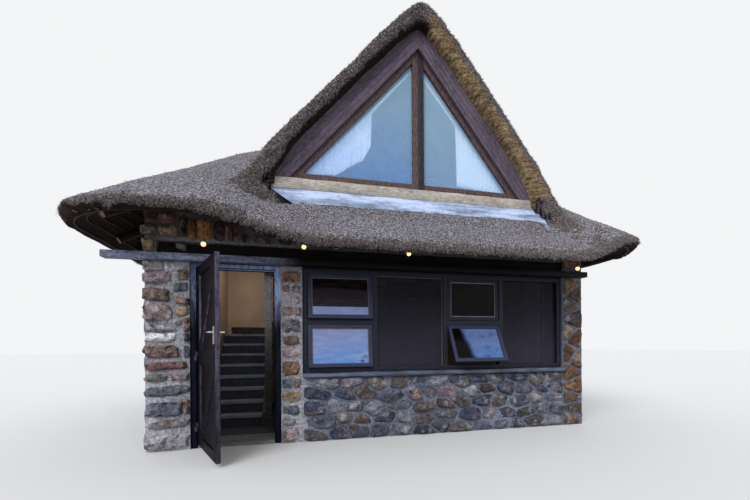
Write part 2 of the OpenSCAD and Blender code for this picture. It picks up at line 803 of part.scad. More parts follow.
module dormer_sill() {
    color("#b9a487") sill_block();
}

// Weathered apron: a wedge from the sill's foot down onto the thatch
module dormer_apron() {
    y1 = sill_y;
    y0 = sill_y - apron_run;
    z1 = dormer_base;
    z0 = front_top_z(-y0) + apron_t;
    z_foot = z0 - apron_t - dormer_sill_h;
    color("lightgray") difference() {
        slab_x(left_edge(dormer_base, 0), right_edge(dormer_base, 0) - left_edge(dormer_base, 0),
            [[y1 + sill_d, z1], [y1, z1], [y0, z0], [y0, z_foot], [y1 + sill_d, z_foot]]);
        below_roof();
    }
}

curtain_t = 40;
curtain_in = 50;
curtain_y = frame_y + dormer_frame_d + seat;

// Gathered curtains behind the dormer's panes, drawn as plain slabs
module dormer_curtains() {
    z0 = dormer_sill_z + dormer_rail_h;
    t = -barge_w / 2 - dormer_bar;
    color("white") {
        slab_y(curtain_y, curtain_t, [[left_edge(z0, t) + curtain_in, z0],
            [left_edge(z0, t) + curtain_in + curtain_left_w, z0],
            [left_edge(z0 + curtain_h, t) + curtain_in, z0 + curtain_h]]);
        slab_y(curtain_y, curtain_t, [[right_edge(z0, t) - curtain_in - curtain_right_w, z0],
            [right_edge(z0, t) - curtain_in, z0],
            [right_edge(z0 + curtain_h, t) - curtain_in, z0 + curtain_h]]);
    }
}

// The stair rises straight in from the door to a landing before the short wall, turns to the right
// and goes on up along that wall. It stands 20 mm clear of the left wall and 10 mm clear of the short one.
stair_x0 = left_x + wall_t + 20;
tread_x0 = stair_x0 + string_t;
tread_x1 = tread_x0 + stair_w;
upper_x0 = tread_x1 + string_t;
landing_y1 = -stair_wall_t - 10;
landing_y0 = landing_y1 - upper_w - 2 * string_t;
stair_y0 = landing_y0 - (landing_riser - 1) * going;
upper_x1 = upper_x0 + (risers - landing_riser - 1) * going;
loft_top = loft_z + joist_h + loft_t;
rise = (loft_top - floor_t) / risers;
landing_z = floor_t + landing_riser * rise;
riser_t = 20;
nosing = 20;
string_d = 240;
well_x1 = upper_x0 + 20;
well_y0 = stair_y0 + well_back;

// Joists across the loft, left out over the stair
module loft_joists() {
    color("#5a4130") for (y = [front_y + wall_t + joist_step / 2:joist_step:inner_r - joist_step]) {
        far = max(0, y + joist_w);
        reach = sqrt(inner_r * inner_r - far * far) - 2;
        over_upper = y + joist_w > landing_y0 - nosing && y < 0;
        over_lower = y + joist_w > well_y0 && y < 0;
        start = over_upper ? upper_x1 + riser_t + seat : over_lower ? well_x1 : -reach;
        block(start, reach, y, y + joist_w, loft_z, loft_z + joist_h);
    }
}

module loft_floor() {
    color("#7a5c43") translate([0, 0, loft_z + joist_h]) difference() {
        linear_extrude(height = loft_t) inside_plan(seat);
        translate([-inner_r - 1, well_y0, -1]) cube([well_x1 + inner_r + 1, seat - well_y0, loft_t + 2]);
        translate([well_x1 - 1, landing_y0 - nosing, -1])
            cube([upper_x1 - nosing - well_x1 + 1, landing_y1 + 10 - landing_y0 + nosing, loft_t + 2]);
    }
}

// Lower treads and the landing, then the upper treads
module stair_treads() {
    color("#6f6a66") {
        for (i = [1:landing_riser]) let (y = stair_y0 + (i - 1) * going)
            block(tread_x0, tread_x1, y - nosing, i < landing_riser ? y + going : landing_y1,
                floor_t + i * rise - tread_t, floor_t + i * rise);
        for (i = [1:risers - landing_riser - 1]) let (x = upper_x0 + (i - 1) * going)
            block(x - nosing, x + going, landing_y0 + string_t, landing_y1 - string_t,
                landing_z + i * rise - tread_t, landing_z + i * rise);
    }
}

module stair_risers() {
    color("#3c3c42") {
        for (i = [1:landing_riser]) let (y = stair_y0 + (i - 1) * going)
            block(tread_x0, tread_x1, y, y + riser_t,
                floor_t + (i - 1) * rise + seat, floor_t + i * rise - tread_t - seat);
        for (i = [1:risers - landing_riser]) let (x = upper_x0 + (i - 1) * going)
            block(x, x + riser_t, landing_y0 + string_t, landing_y1 - string_t,
                landing_z + (i - 1) * rise + seat,
                landing_z + i * rise - (i < risers - landing_riser ? tread_t : loft_t) - seat);
    }
}

// Side boards of both flights, the post beside the first step and the skirting over the landing
module stair_strings() {
    foot_y = stair_y0 - 40;
    lower = [[foot_y, floor_t], [foot_y + string_foot, floor_t], [landing_y0, landing_z - string_d],
        [landing_y1, landing_z - string_d], [landing_y1, landing_z], [landing_y0 - nosing, landing_z],
        [foot_y, floor_t + rise + 20]];
    x0 = upper_x0 + seat;
    upper_z = loft_z + joist_h - seat;
    upper = [[x0, landing_z - string_d], [upper_x1 + riser_t, upper_z - string_d],
        [upper_x1 + riser_t, upper_z], [upper_x1 - 60, upper_z], [x0, landing_z + rise + 20]];
    post_x = upper_x0 + seat;
    post_y = stair_y0 - 40;
    color("#8a8078") {
        for (x = [stair_x0, tread_x1]) slab_x(x, string_t, lower);
        for (y = [landing_y0, landing_y1 - string_t]) slab_y(y, string_t, upper);
        block(post_x, post_x + post_w, post_y, post_y + post_w, floor_t, loft_z + joist_h - seat);
        block(tread_x0, tread_x1, landing_y1 - 8, landing_y1 + 10 - seat, landing_z + seat, landing_z + 150);
    }
}

floor_slab();
left_pier();
middle_pier();
right_pier();
sill_wall();
upper_front_wall();
left_wall();
right_wall();
for (i = [1:round_segments]) round_wall(i);
wall_plate();
lintel_beam();
front_rail();
door_frame();
door_threshold();
door_leaf();
door_handle();
door_hinges();
door_hinge_pins();
window_sill();
window_frame();
left_sashes();
upper_right_sash();
lower_right_sash();
window_glass();
sash_glass();
main_thatch();
dormer_thatch();
rafters();
dormer_rafters();
barge_boards();
dormer_frame();
dormer_glass();
dormer_sill();
dormer_apron();
dormer_curtains();
loft_joists();
loft_floor();
stair_treads();
stair_risers();
stair_strings();
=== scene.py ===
"""A thatched stone cottage, dressed over its CAD frame: rubble walls, reed thatch, painted timber and glass."""
import math

import bmesh
import bpy
import numpy as np
from mathutils import Matrix, Vector, noise
from mathutils.bvhtree import BVHTree


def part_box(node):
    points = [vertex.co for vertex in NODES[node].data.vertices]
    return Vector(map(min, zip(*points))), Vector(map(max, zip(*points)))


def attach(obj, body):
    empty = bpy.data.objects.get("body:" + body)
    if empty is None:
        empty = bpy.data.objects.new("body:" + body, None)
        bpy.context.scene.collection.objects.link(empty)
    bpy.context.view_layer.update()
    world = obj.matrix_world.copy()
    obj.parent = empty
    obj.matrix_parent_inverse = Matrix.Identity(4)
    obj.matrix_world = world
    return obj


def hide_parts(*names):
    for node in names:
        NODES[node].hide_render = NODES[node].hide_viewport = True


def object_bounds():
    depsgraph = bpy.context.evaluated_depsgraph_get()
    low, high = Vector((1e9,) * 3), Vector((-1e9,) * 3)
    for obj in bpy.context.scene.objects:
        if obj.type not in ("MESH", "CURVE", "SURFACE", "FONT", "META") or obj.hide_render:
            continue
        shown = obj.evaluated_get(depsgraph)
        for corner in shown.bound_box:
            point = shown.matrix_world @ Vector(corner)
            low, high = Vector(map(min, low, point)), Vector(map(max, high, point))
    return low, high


bl_info = {
    "name": "Thatched stone cottage",
    "version": (1, 0, 0),
    "blender": (4, 5, 0),
    "location": "View3D > Sidebar > Cottage",
    "description": "Dresses the cottage's frame with stone, reed, timber and glass",
    "category": "Object",
}

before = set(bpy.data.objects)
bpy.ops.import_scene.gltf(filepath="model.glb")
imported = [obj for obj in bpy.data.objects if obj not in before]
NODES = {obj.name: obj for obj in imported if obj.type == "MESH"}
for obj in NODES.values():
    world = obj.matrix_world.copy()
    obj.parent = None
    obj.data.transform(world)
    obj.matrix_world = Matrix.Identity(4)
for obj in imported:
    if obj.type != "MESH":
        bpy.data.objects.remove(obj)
CAD_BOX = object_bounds()
FRONT_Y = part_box("left_pier")[0].y
HALF_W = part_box("right_pier")[1].x
WALL_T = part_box("left_pier")[1].y - FRONT_Y
ROOF_X = CAD_BOX[1][0]
ROOF_FRONT_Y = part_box("main_thatch")[0].y
EAVE_CORNER = 0.95
APEX_Z = CAD_BOX[1][2]
DORMER_X = 0.315
SILL_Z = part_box("dormer_sill")[1].z
PEAK_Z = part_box("barge_boards")[1].z
DORMER_LEFT = DORMER_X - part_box("barge_boards")[0].x
DORMER_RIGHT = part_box("barge_boards")[1].x - DORMER_X
LEFT_PITCH = math.atan2(PEAK_Z - SILL_Z, DORMER_LEFT)
RIGHT_PITCH = math.atan2(PEAK_Z - SILL_Z, DORMER_RIGHT)
RAIL_FOOT_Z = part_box("front_rail")[0].z
CURTAIN_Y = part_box("dormer_curtains")[0].y
WINDOW_X0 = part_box("window_frame")[0].x
MULLION_1_X, MULLION_2_X, MULLION_3_X = -0.240, 0.730, 1.560
TRANSOM_Z = 1.46
BULB_Y = ROOF_FRONT_Y + 0.24
APRON_FOOT_Y = FRONT_Y - 0.285
LINTEL_TOP_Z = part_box("lintel_beam")[1].z
SIDE_TOP_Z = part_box("left_pier")[1].z
RIGHT_PIER_SEEN_Z = 2.60
SLABS_END_X = -1.84


def srgb(red, green, blue):
    """A colour given as 0 to 255 screen values, as the linear values that Blender uses."""
    return tuple((c / 255 / 12.92) if c / 255 <= 0.04045 else ((c / 255 + 0.055) / 1.055) ** 2.4
                 for c in (red, green, blue))


class Wire:
    """A shader socket that takes part in sums, products and powers."""

    def __init__(self, nodes, socket):
        self.nodes = nodes
        self.socket = socket

    def calc(self, operation, first, second):
        return self.nodes.node("ShaderNodeMath", {"operation": operation}, {0: first, 1: second})

    def __add__(self, other):
        return self.calc("ADD", self, other)

    def __radd__(self, other):
        return self.calc("ADD", other, self)

    def __sub__(self, other):
        return self.calc("SUBTRACT", self, other)

    def __rsub__(self, other):
        return self.calc("SUBTRACT", other, self)

    def __mul__(self, other):
        return self.calc("MULTIPLY", self, other)

    def __rmul__(self, other):
        return self.calc("MULTIPLY", other, self)

    def __truediv__(self, other):
        return self.calc("DIVIDE", self, other)

    def __rtruediv__(self, other):
        return self.calc("DIVIDE", other, self)

    def __pow__(self, other):
        return self.calc("POWER", self, other)

    def __rpow__(self, other):
        return self.calc("POWER", other, self)

    def over(self, level):
        """1 where the value is greater than the level, and 0 elsewhere"""
        return self.calc("GREATER_THAN", self, level)


class Nodes:
    """A node tree that is filled node by node."""

    def __init__(self, owner):
        owner.use_nodes = True
        self.tree = owner.node_tree
        self.tree.nodes.clear()

    def node(self, kind, settings=None, values=None, output=0):
        """Adds one node: its settings first, then its sockets' values or wires; gives the wire that leaves it"""
        made = self.tree.nodes.new(kind)
        for key, value in (settings or {}).items():
            if key == "stops":
                stops = made.color_ramp.elements
                while len(stops) < len(value):
                    stops.new(0.5)
                for stop, (at, tint) in zip(stops, value):
                    stop.position = at
                    stop.color = (*tint, 1)
            else:
                setattr(made, key, value)
        for key, value in (values or {}).items():
            if isinstance(value, Wire):
                self.tree.links.new(value.socket, made.inputs[key])
            else:
                made.inputs[key].default_value = value
        return Wire(self, made.outputs[output])

    def finish_with(self, kind, wire):
        """Leads a wire to the tree's output node"""
        out = self.tree.nodes.new(kind)
        self.tree.links.new(wire.socket, out.inputs[0])


class Finish(Nodes):
    """A procedural material: patterns come from its methods, and put() leads them to the surface's sockets."""

    def __init__(self, name, roughness=0.7, **fixed):
        self.material = bpy.data.materials.new(name)
        super().__init__(self.material)
        surface = self.node("ShaderNodeBsdfPrincipled")
        self.surface = surface.socket.node
        self.finish_with("ShaderNodeOutputMaterial", surface)
        self.put("Roughness", roughness)
        for key, value in fixed.items():
            self.put(key.replace("_", " "), value)
        self.place = self.node("ShaderNodeTexCoord", output="Object")

    def put(self, socket, value):
        if isinstance(value, Wire):
            self.tree.links.new(value.socket, self.surface.inputs[socket])
        elif socket in ("Base Color", "Emission Color"):
            self.surface.inputs[socket].default_value = (*value, 1)
        else:
            self.surface.inputs[socket].default_value = value

    def speckle(self, scale, detail=3.0, stretch=(1, 1, 1), where=None, rough=0.55):
        """Soft noise in the piece's own place; stretch draws it out where it is less than 1"""
        vector = self.node("ShaderNodeMapping", None, {"Vector": where or self.place, "Scale": stretch})
        return self.node("ShaderNodeTexNoise", None, {
            "Vector": vector, "Scale": scale, "Detail": detail, "Roughness": rough})

    def blend(self, mask, first, second, kind="MIX"):
        pair = [t if isinstance(t, Wire) else (*t, 1) for t in (first, second)]
        return self.node("ShaderNodeMix", {"data_type": "RGBA", "blend_type": kind},
                         {0: mask, 6: pair[0], 7: pair[1]}, output=2)

    def ramp(self, value, *stops):
        return self.node("ShaderNodeValToRGB", {"stops": stops}, {0: value})

    def step(self, value, low, high):
        """A smooth rise from 0 at the low level to 1 at the high one"""
        return self.node("ShaderNodeMapRange", {"interpolation_type": "SMOOTHSTEP"},
                         {"Value": value, "From Min": low, "From Max": high})

    def axis(self, name, of=None):
        return self.node("ShaderNodeSeparateXYZ", None, {0: of or self.place}, output=name)

    def facing(self, name):
        """How far the surface faces along an axis, from -1 to 1"""
        return self.axis(name, self.node("ShaderNodeTexCoord", output="Normal"))

    def moved(self, by):
        return self.node("ShaderNodeMapping", None, {"Vector": self.place, "Location": by})

    def within(self, value, low, high):
        """1 between two levels and 0 outside them"""
        return self.step(value, low - 0.004, low + 0.004) * (1 - self.step(value, high - 0.004, high + 0.004))

    def tint(self, name):
        return self.node("ShaderNodeAttribute", {"attribute_name": name}, output="Color")

    def amount(self, name):
        return self.node("ShaderNodeAttribute", {"attribute_name": name}, output="Fac")

    def relief(self, height, depth, strength=1.0):
        self.put("Normal", self.node("ShaderNodeBump", None, {
            "Height": height, "Distance": depth, "Strength": strength}))


# Finishes

def mortar_finish(name, inside):
    """Pale mortar outside and cream plaster inside; inside says which way in is told from the place."""
    f = Finish(name, 0.92)
    grain = f.speckle(38, 5)
    blotch = f.speckle(2.1, 3)
    mortar = f.ramp(grain * 0.6 + blotch * 0.4, (0.36, srgb(98, 97, 103)), (0.5, srgb(152, 151, 159)),
                    (0.64, srgb(200, 198, 207)))
    # Mortar on the front face above the lintel turns dark brown: painted shade under the eave, with some soot.
    eave_shade_and_soot = f.step(f.axis("Z"), 2.30, 2.42) * (1 - f.axis("Y").over(FRONT_Y + 0.02))
    mortar = f.blend(eave_shade_and_soot * 0.75, mortar, srgb(58, 48, 44))
    shaded = f.step(f.axis("X") + blotch * 0.1, -1.15, -0.95) * 0.85
    mortar = f.blend(shaded, mortar, f.blend(1.0, mortar, (0.26, 0.31, 0.42), "MULTIPLY"))
    plaster = f.ramp(blotch, (0.25, srgb(182, 156, 132)), (0.75, srgb(214, 190, 166)))
    if inside == "round":
        x, y = f.axis("X"), f.axis("Y")
        mask = 1 - ((x * x + y * y) ** 0.5).over(HALF_W - WALL_T + 0.01)
    elif inside == "side":
        x = f.axis("X")
        mask = 1 - (x * x).over((HALF_W - WALL_T + 0.01) ** 2)
    else:
        mask = f.axis("Y").over(FRONT_Y + WALL_T - 0.01)
    tone = f.blend(mask, mortar, plaster)
    if inside == "front":
        x = f.axis("X")
        behind_face = f.axis("Y").over(FRONT_Y + 0.03)
        # The doorway's side faces behind the front face are painted nearly black: painted shade in the reveal.
        reveal_shade = f.step(f.facing("X") ** 2, 0.4, 0.6) * f.within(x, -2.45, -1.35) * behind_face
        tone = f.blend(reveal_shade, tone, srgb(24, 22, 26))
    f.put("Base Color", tone)
    f.relief(grain + blotch * 0.5, 0.012, 0.7)
    return f.material


def stone_finish():
    """Rough field stone: each stone's own tone, with rusty and pale patches and dark pits."""
    f = Finish("field_stone", 0.88, Specular_IOR_Level=0.3)
    own = f.tint("stone_tint")
    broad = f.speckle(5.5, 4, rough=0.6)
    patch = f.speckle(13, 5, rough=0.65)
    grain = f.speckle(60, 4, rough=0.7)
    shade = f.ramp(patch * 0.6 + grain * 0.4, (0.39, (0.34, 0.34, 0.36)), (0.47, (0.80, 0.80, 0.82)),
                   (0.54, (1.16, 1.15, 1.14)), (0.62, (1.75, 1.74, 1.74)))
    tone = f.blend(1.0, own, shade, "MULTIPLY")
    rust = f.step(f.speckle(4.2, 5, where=f.moved((3, 7, 1)), rough=0.6), 0.52, 0.66)
    tone = f.blend(rust * 0.28, tone, f.blend(1.0, srgb(164, 124, 96), shade, "MULTIPLY"))
    lime = f.step(f.speckle(6.5, 5, where=f.moved((11, 2, 5)), rough=0.6), 0.54, 0.64)
    tone = f.blend(lime * 0.4, tone, f.blend(1.0, srgb(170, 168, 174), shade, "MULTIPLY"))
    pits = f.step(f.speckle(26, 4, where=f.moved((1, 9, 4))), 0.60, 0.70)
    f.put("Base Color", f.blend(pits * 0.55, tone, srgb(52, 46, 46)))
    f.put("Roughness", 0.75 + grain * 0.22)
    f.relief(broad * 0.8 + patch * 0.8 + grain * 0.25 - pits * 0.25, 0.03, 0.85)
    return f.material


def thatch_finish():
    """Weathered reed: grey on the roof, browner on cut faces, and dark brown underneath, deepened to near black as
    painted shade.
    """
    f = Finish("weathered_reed", 0.95, Specular_IOR_Level=0.15)
    along = f.node("ShaderNodeUVMap", {"uv_map": "reed_run"})
    fibre = f.speckle(34, 4, stretch=(5.5, 1, 1), where=along)
    butt = f.speckle(75, 3, rough=0.7)
    patch = f.speckle(1.3, 4)
    cloud = f.speckle(6.5, 4)
    speck = f.speckle(48, 4, rough=0.75) * 0.6 + butt * 0.4
    grey = f.ramp(speck, (0.40, srgb(44, 40, 46)), (0.46, srgb(94, 91, 100)),
                  (0.52, srgb(136, 133, 141)), (0.60, srgb(206, 202, 210)))
    brown = f.ramp(speck, (0.40, srgb(34, 28, 28)), (0.48, srgb(94, 85, 84)), (0.53, srgb(128, 119, 119)),
                   (0.61, srgb(188, 178, 176)))
    tone = f.blend(f.step(patch * 0.6 + cloud * 0.4, 0.44, 0.60) * 0.35, grey, brown)
    tone = f.blend(f.amount("cut_face"), tone, brown)
    # Underside: the reed's dark brown, deepened to near black as painted shade under the eave.
    dark = f.ramp(fibre, (0.38, srgb(10, 6, 5)), (0.6, srgb(58, 38, 28)))
    tone = f.blend(f.amount("under_side"), tone, dark)
    row = f.speckle(9, 4, stretch=(1, 1, 4.5), rough=0.7)
    golden = f.ramp(row * 0.6 + speck * 0.4, (0.40, srgb(70, 54, 40)), (0.5, srgb(160, 134, 98)),
                    (0.60, srgb(216, 192, 152)))
    f.put("Base Color", f.blend(f.amount("golden_side"), tone, golden))
    f.relief(fibre * 0.4 + butt * 0.9 + cloud * 0.6, 0.03, 0.9)
    return f.material


def reed_finish():
    """Single reeds: each has its own tone."""
    f = Finish("reed_stalks", 0.9, Specular_IOR_Level=0.2)
    own = f.tint("reed_tint")
    f.put("Base Color", f.blend(f.speckle(60, 2) * 0.25, own, srgb(84, 80, 84)))
    return f.material


def paint_finish(name, front, reveal_shade, worn, roughness=0.5, along=(1, 1, 6)):
    """Old paint: one tone on the faces that look out, lightened as a painted sheen, a darker one in the reveals as
    painted shade, worn thin in places.
    """
    f = Finish(name, roughness, Specular_IOR_Level=0.3)
    streak = f.speckle(7, 4, stretch=along)
    wear = f.speckle(26, 5, rough=0.7)
    # Outward faces take the front colour, a painted sheen; the others take the reveal colour, painted shade.
    out = f.step(f.facing("Y") * -1, 0.3, 0.8)
    tone = f.blend(out, reveal_shade, front)
    tone = f.blend(f.step(streak, 0.35, 0.75) * 0.35, tone, reveal_shade)
    f.put("Base Color", f.blend(f.step(wear, 0.60, 0.72) * 0.8, tone, worn))
    f.put("Roughness", roughness + wear * 0.25)
    f.relief(wear * 0.4 + streak * 0.6, 0.004, 0.6)
    return f.material


def rail_finish():
    """Worn grey-violet paint left of the door, and nearly black right of it: painted shadow of the eave."""
    f = Finish("rail_paint", 0.55, Specular_IOR_Level=0.12)
    streak = f.speckle(7, 4, stretch=(0.5, 4, 4))
    wear = f.speckle(24, 5, rough=0.7)
    x = f.axis("X")
    pale = f.ramp(streak * 0.5 + wear * 0.5, (0.36, srgb(68, 71, 88)), (0.5, srgb(120, 126, 150)),
                  (0.66, srgb(168, 176, 206)))
    # dark: painted shadow of the eave on the rail right of the door.
    dark = f.ramp(wear, (0.4, srgb(2, 2, 3)), (0.66, srgb(18, 15, 19)))
    f.put("Base Color", f.blend(f.step(x + streak * 0.4, -1.35, -0.95), pale, dark))
    f.put("Roughness", 0.45 + wear * 0.3)
    f.relief(streak + wear * 0.4, 0.005, 0.8)
    return f.material


def door_finish():
    """Nearly black stain on the leaf's faces, and a worn purple-grey one on its edges, lightened by a painted
    highlight, paler towards the top
    """
    f = Finish("door_stain", 0.5, Specular_IOR_Level=0.06)
    wear = f.speckle(22, 5, rough=0.7)
    streak = f.speckle(7, 4, stretch=(4, 4, 0.6))
    face = f.ramp(wear * 0.4 + streak * 0.6, (0.4, srgb(5, 4, 7)), (0.6, srgb(26, 22, 29)))
    worn = f.ramp(wear * 0.5 + streak * 0.5, (0.4, srgb(54, 50, 66)), (0.6, srgb(108, 100, 122)))
    low = f.blend(0.6, worn, face)
    # Faces that look along -Y take the purple-grey: worn stain with a painted highlight.
    edge = f.step(f.facing("Y") * -1, 0.6, 0.8)
    f.put("Base Color", f.blend(edge, face, f.blend(f.step(f.axis("Z") + streak * 0.4, 0.7, 1.6), low, worn)))
    f.put("Roughness", 0.4 + wear * 0.3)
    f.relief(streak + wear * 0.4, 0.005, 0.7)
    return f.material


def jamb_finish():
    """The door frame's worn paint: dark navy lower down, and pale blue on the front faces of its upper part, a
    painted reflection of the sky, weaker on the left jamb
    """
    f = Finish("jamb_paint", 0.5, Specular_IOR_Level=0.1)
    wear = f.speckle(24, 5, rough=0.7)
    streak = f.speckle(7, 4, stretch=(4, 4, 0.7))
    low = f.ramp(wear * 0.5 + streak * 0.5, (0.4, srgb(2, 3, 9)), (0.6, srgb(18, 22, 44)))
    # high: painted reflection of the sky on the upper front faces; the left jamb gets about a third of it.
    high = f.ramp(wear * 0.5 + streak * 0.5, (0.4, srgb(112, 128, 174)), (0.6, srgb(184, 202, 246)))
    out = f.step(f.facing("Y") * -1, 0.3, 0.8) * (0.35 + f.step(f.axis("X"), -2.32, -2.25) * 0.65)
    f.put("Base Color", f.blend(f.step(f.axis("Z") + streak * 0.4, 1.5, 2.15) * out, low, high))
    f.relief(streak + wear * 0.4, 0.005, 0.7)
    return f.material


def board_finish(name, dark, light, boards=0.0, stretch=9.0, roughness=0.7, slope=None):
    """Sawn timber with the grain along X, or along both slopes of the dormer, cut into boards."""
    f = Finish(name, roughness, Specular_IOR_Level=0.25)
    if slope:
        left = f.node("ShaderNodeMapping", None, {
            "Vector": f.place, "Location": (0, 0, 0), "Rotation": (0, LEFT_PITCH, 0)})
        right = f.node("ShaderNodeMapping", None, {
            "Vector": f.place, "Location": (7, 0, 0), "Rotation": (0, -RIGHT_PITCH, 0)})
        side = f.axis("X").over(DORMER_X)
        run = f.node("ShaderNodeMix", {"data_type": "VECTOR"}, {0: side, 4: left, 5: right}, output=1)
    else:
        run = f.place
    grain = f.speckle(18, 5, stretch=(1, stretch, stretch), where=run)
    knots = f.speckle(4, 3, stretch=(1, 2.5, 2.5), where=run)
    tone = f.ramp(grain * 0.7 + knots * 0.3, (0.32, dark), (0.68, light))
    height = grain
    if boards:
        phase = f.axis("Z", run) / boards
        seam = f.node("ShaderNodeMath", {"operation": "PINGPONG"}, {0: phase, 1: 0.5})
        groove = 1 - f.step(seam, 0.0, 0.05)
        tone = f.blend(groove * 0.85, tone, (0.01, 0.008, 0.008))
        height = grain * 0.4 - groove
    f.put("Base Color", tone)
    f.put("Roughness", roughness - 0.1 + grain * 0.25)
    f.relief(height, 0.006, 0.8)
    return f.material


def pole_finish():
    """Smoke-brown poles whose sawn outer ends are still pale"""
    f = Finish("smoky_pole", 0.7, Specular_IOR_Level=0.25)
    grain = f.speckle(18, 5, stretch=(1, 3, 3))
    x, y = f.axis("X"), f.axis("Y")
    outwards = (f.facing("X") * x + f.facing("Y") * y) / (x * x + y * y + 0.01) ** 0.5
    side = f.ramp(grain, (0.32, srgb(22, 15, 11)), (0.68, srgb(64, 46, 33)))
    end = f.ramp(f.speckle(30, 4), (0.35, srgb(96, 80, 60)), (0.65, srgb(196, 176, 142)))
    f.put("Base Color", f.blend(f.step(outwards, 0.69, 0.74), side, end))
    f.put("Roughness", 0.6 + grain * 0.25)
    f.relief(grain, 0.006, 0.8)
    return f.material


def red_frame_finish():
    """Reddish varnish on the dormer's inner frame; the mullion's right half is dark"""
    f = Finish("reddish_frame", 0.5, Specular_IOR_Level=0.25)
    grain = f.speckle(20, 5, stretch=(3, 3, 0.8))
    fine = f.speckle(60, 3)
    warm = f.ramp(grain * 0.7 + fine * 0.3, (0.38, srgb(44, 32, 36)), (0.62, srgb(108, 84, 84)))
    cold = f.ramp(grain, (0.4, srgb(20, 18, 24)), (0.6, srgb(52, 46, 54)))
    x = f.axis("X")
    right_half = f.within(x, DORMER_X + 0.006, DORMER_X + 0.08)
    gap = f.within(x, DORMER_X - 0.006, DORMER_X + 0.006)
    tone = f.blend(right_half, warm, cold)
    f.put("Base Color", f.blend(gap * 0.9, tone, (0.004, 0.003, 0.003)))
    f.relief(grain + fine * 0.3 - gap, 0.005, 0.7)
    return f.material


def glass_finish(name, low, high, z_low, z_high, alpha, gloss, right=None):
    """A pane whose colour is painted light, changing softly upwards; right is a tone mixed in on the dormer's
    right half.
    """
    f = Finish(name, 0.06, IOR=1.5, Specular_IOR_Level=gloss)
    rise = f.step(f.axis("Z") + f.speckle(1.6, 2) * 0.5 - 0.25, z_low, z_high)
    tone = f.blend(rise, low, high)
    if right:
        tone = f.blend(f.axis("X").over(DORMER_X) * 0.5, tone, right)
    f.put("Base Color", tone)
    smear = f.speckle(5, 4)
    f.put("Roughness", 0.03 + smear * 0.08)
    f.put("Alpha", alpha + smear * 0.10 - 0.05)
    return f.material


def sash_pane_finish():
    """The hung panes: a painted reflection of the sky, with clouds and leaves, in the lower ones and in a low
    strip of the left one, and painted shade of a dark room in the rest.
    """
    f = Finish("sash_panes", 0.05, IOR=1.5, Specular_IOR_Level=0.12)
    x, z = f.axis("X"), f.axis("Z")
    soft = f.speckle(2.5, 3)
    leaf_reflection = f.step(f.speckle(9, 4, rough=0.6), 0.50, 0.66)
    # dark: painted shade of the room behind the panes, darker higher up and nearly black in the third bay.
    dark = f.blend(f.step(z + soft * 0.3, 1.6, 2.1), srgb(58, 48, 62), srgb(26, 22, 30))
    dark = f.blend(f.step(x, 0.2, 0.3), dark, srgb(8, 8, 11))
    # sky: painted reflection of the sky, with clouds and leaves in a corner.
    sky = f.blend(f.step(z + soft * 0.25, 1.05, 1.45), srgb(104, 146, 210), srgb(138, 152, 202))
    cloud_reflection = f.step(f.speckle(5, 4, stretch=(0.8, 4, 4)), 0.45, 0.62)
    sky = f.blend(cloud_reflection * 0.35, sky, srgb(176, 180, 214))
    sky = f.blend(f.step(x, 0.2, 0.3) * 0.6, sky, srgb(50, 88, 146))
    strip = f.within(z, 1.54, 1.645) * (1 - f.step(x, 0.2, 0.3))
    low_left = (1 - f.step(z, 1.45, 1.47)) * (1 - f.step(x, 0.2, 0.3))
    corner = f.step(x * 0.8 - z + soft * 0.3, -1.34, -1.18) * leaf_reflection
    low_right = (1 - f.step(z, 1.42, 1.44)) * f.step(x + z * 0.3 + soft * 0.1, 1.36, 1.46)
    light = strip + low_left * (1 - corner * 0.85) + low_right * (1 - leaf_reflection * 0.35)
    f.put("Base Color", f.blend(light, dark, sky))
    f.put("Alpha", 0.62 + light * 0.30)
    f.put("Roughness", 0.03 + soft * 0.06)
    return f.material


def metal_finish(name, tone, roughness, metallic=1.0):
    """Metal with small dull scuffs"""
    f = Finish(name, roughness)
    scuff = f.speckle(60, 4)
    f.put("Base Color", f.blend(f.step(scuff, 0.5, 0.75) * 0.35, tone, tuple(c * 0.5 for c in tone)))
    f.put("Metallic", metallic)
    f.put("Roughness", roughness + scuff * 0.2)
    f.relief(scuff, 0.0006, 0.5)
    return f.material


def screed_finish():
    """The floor's dark screed, stained and gritty"""
    f = Finish("worn_screed", 0.8)
    stain = f.speckle(3.5, 5)
    grit = f.speckle(120, 3)
    f.put("Base Color", f.ramp(stain * 0.7 + grit * 0.3, (0.3, srgb(34, 34, 37)), (0.7, srgb(66, 64, 65))))
    f.relief(stain + grit * 0.4, 0.004, 0.6)
    return f.material


def cement_finish():
    """The window sill's bluish cement, with stains that run along it"""
    f = Finish("worn_cement", 0.85)
    stain = f.speckle(4, 5, stretch=(1, 1, 3))
    grit = f.speckle(90, 3)
    tone = f.ramp(stain * 0.75 + grit * 0.25, (0.3, srgb(46, 52, 66)), (0.55, srgb(84, 92, 112)),
                  (0.75, srgb(118, 126, 148)))
    f.put("Base Color", tone)
    f.relief(stain + grit * 0.5, 0.006, 0.8)
    return f.material


def apron_finish():
    """Whitish painted sheeting with dirt running down it and a browner worn lower edge."""
    f = Finish("whitish_sheeting", 0.55)
    runs = f.speckle(5, 5, stretch=(0.35, 2.6, 2.6))
    spots = f.speckle(16, 5)
    low = 1 - f.step(f.axis("Z") + spots * 0.08, SILL_Z - 0.34, SILL_Z - 0.24)
    tone = f.ramp(runs * 0.75 + spots * 0.25, (0.38, srgb(108, 120, 144)), (0.5, srgb(150, 166, 198)),
                  (0.6, srgb(194, 210, 244)))
    tone = f.blend(f.step(spots, 0.58, 0.7) * 0.3, tone, srgb(104, 102, 106))
    f.put("Base Color", f.blend(low * 0.45, tone, srgb(98, 97, 103)))
    f.relief(runs + spots * 0.5, 0.006, 0.7)
    return f.material


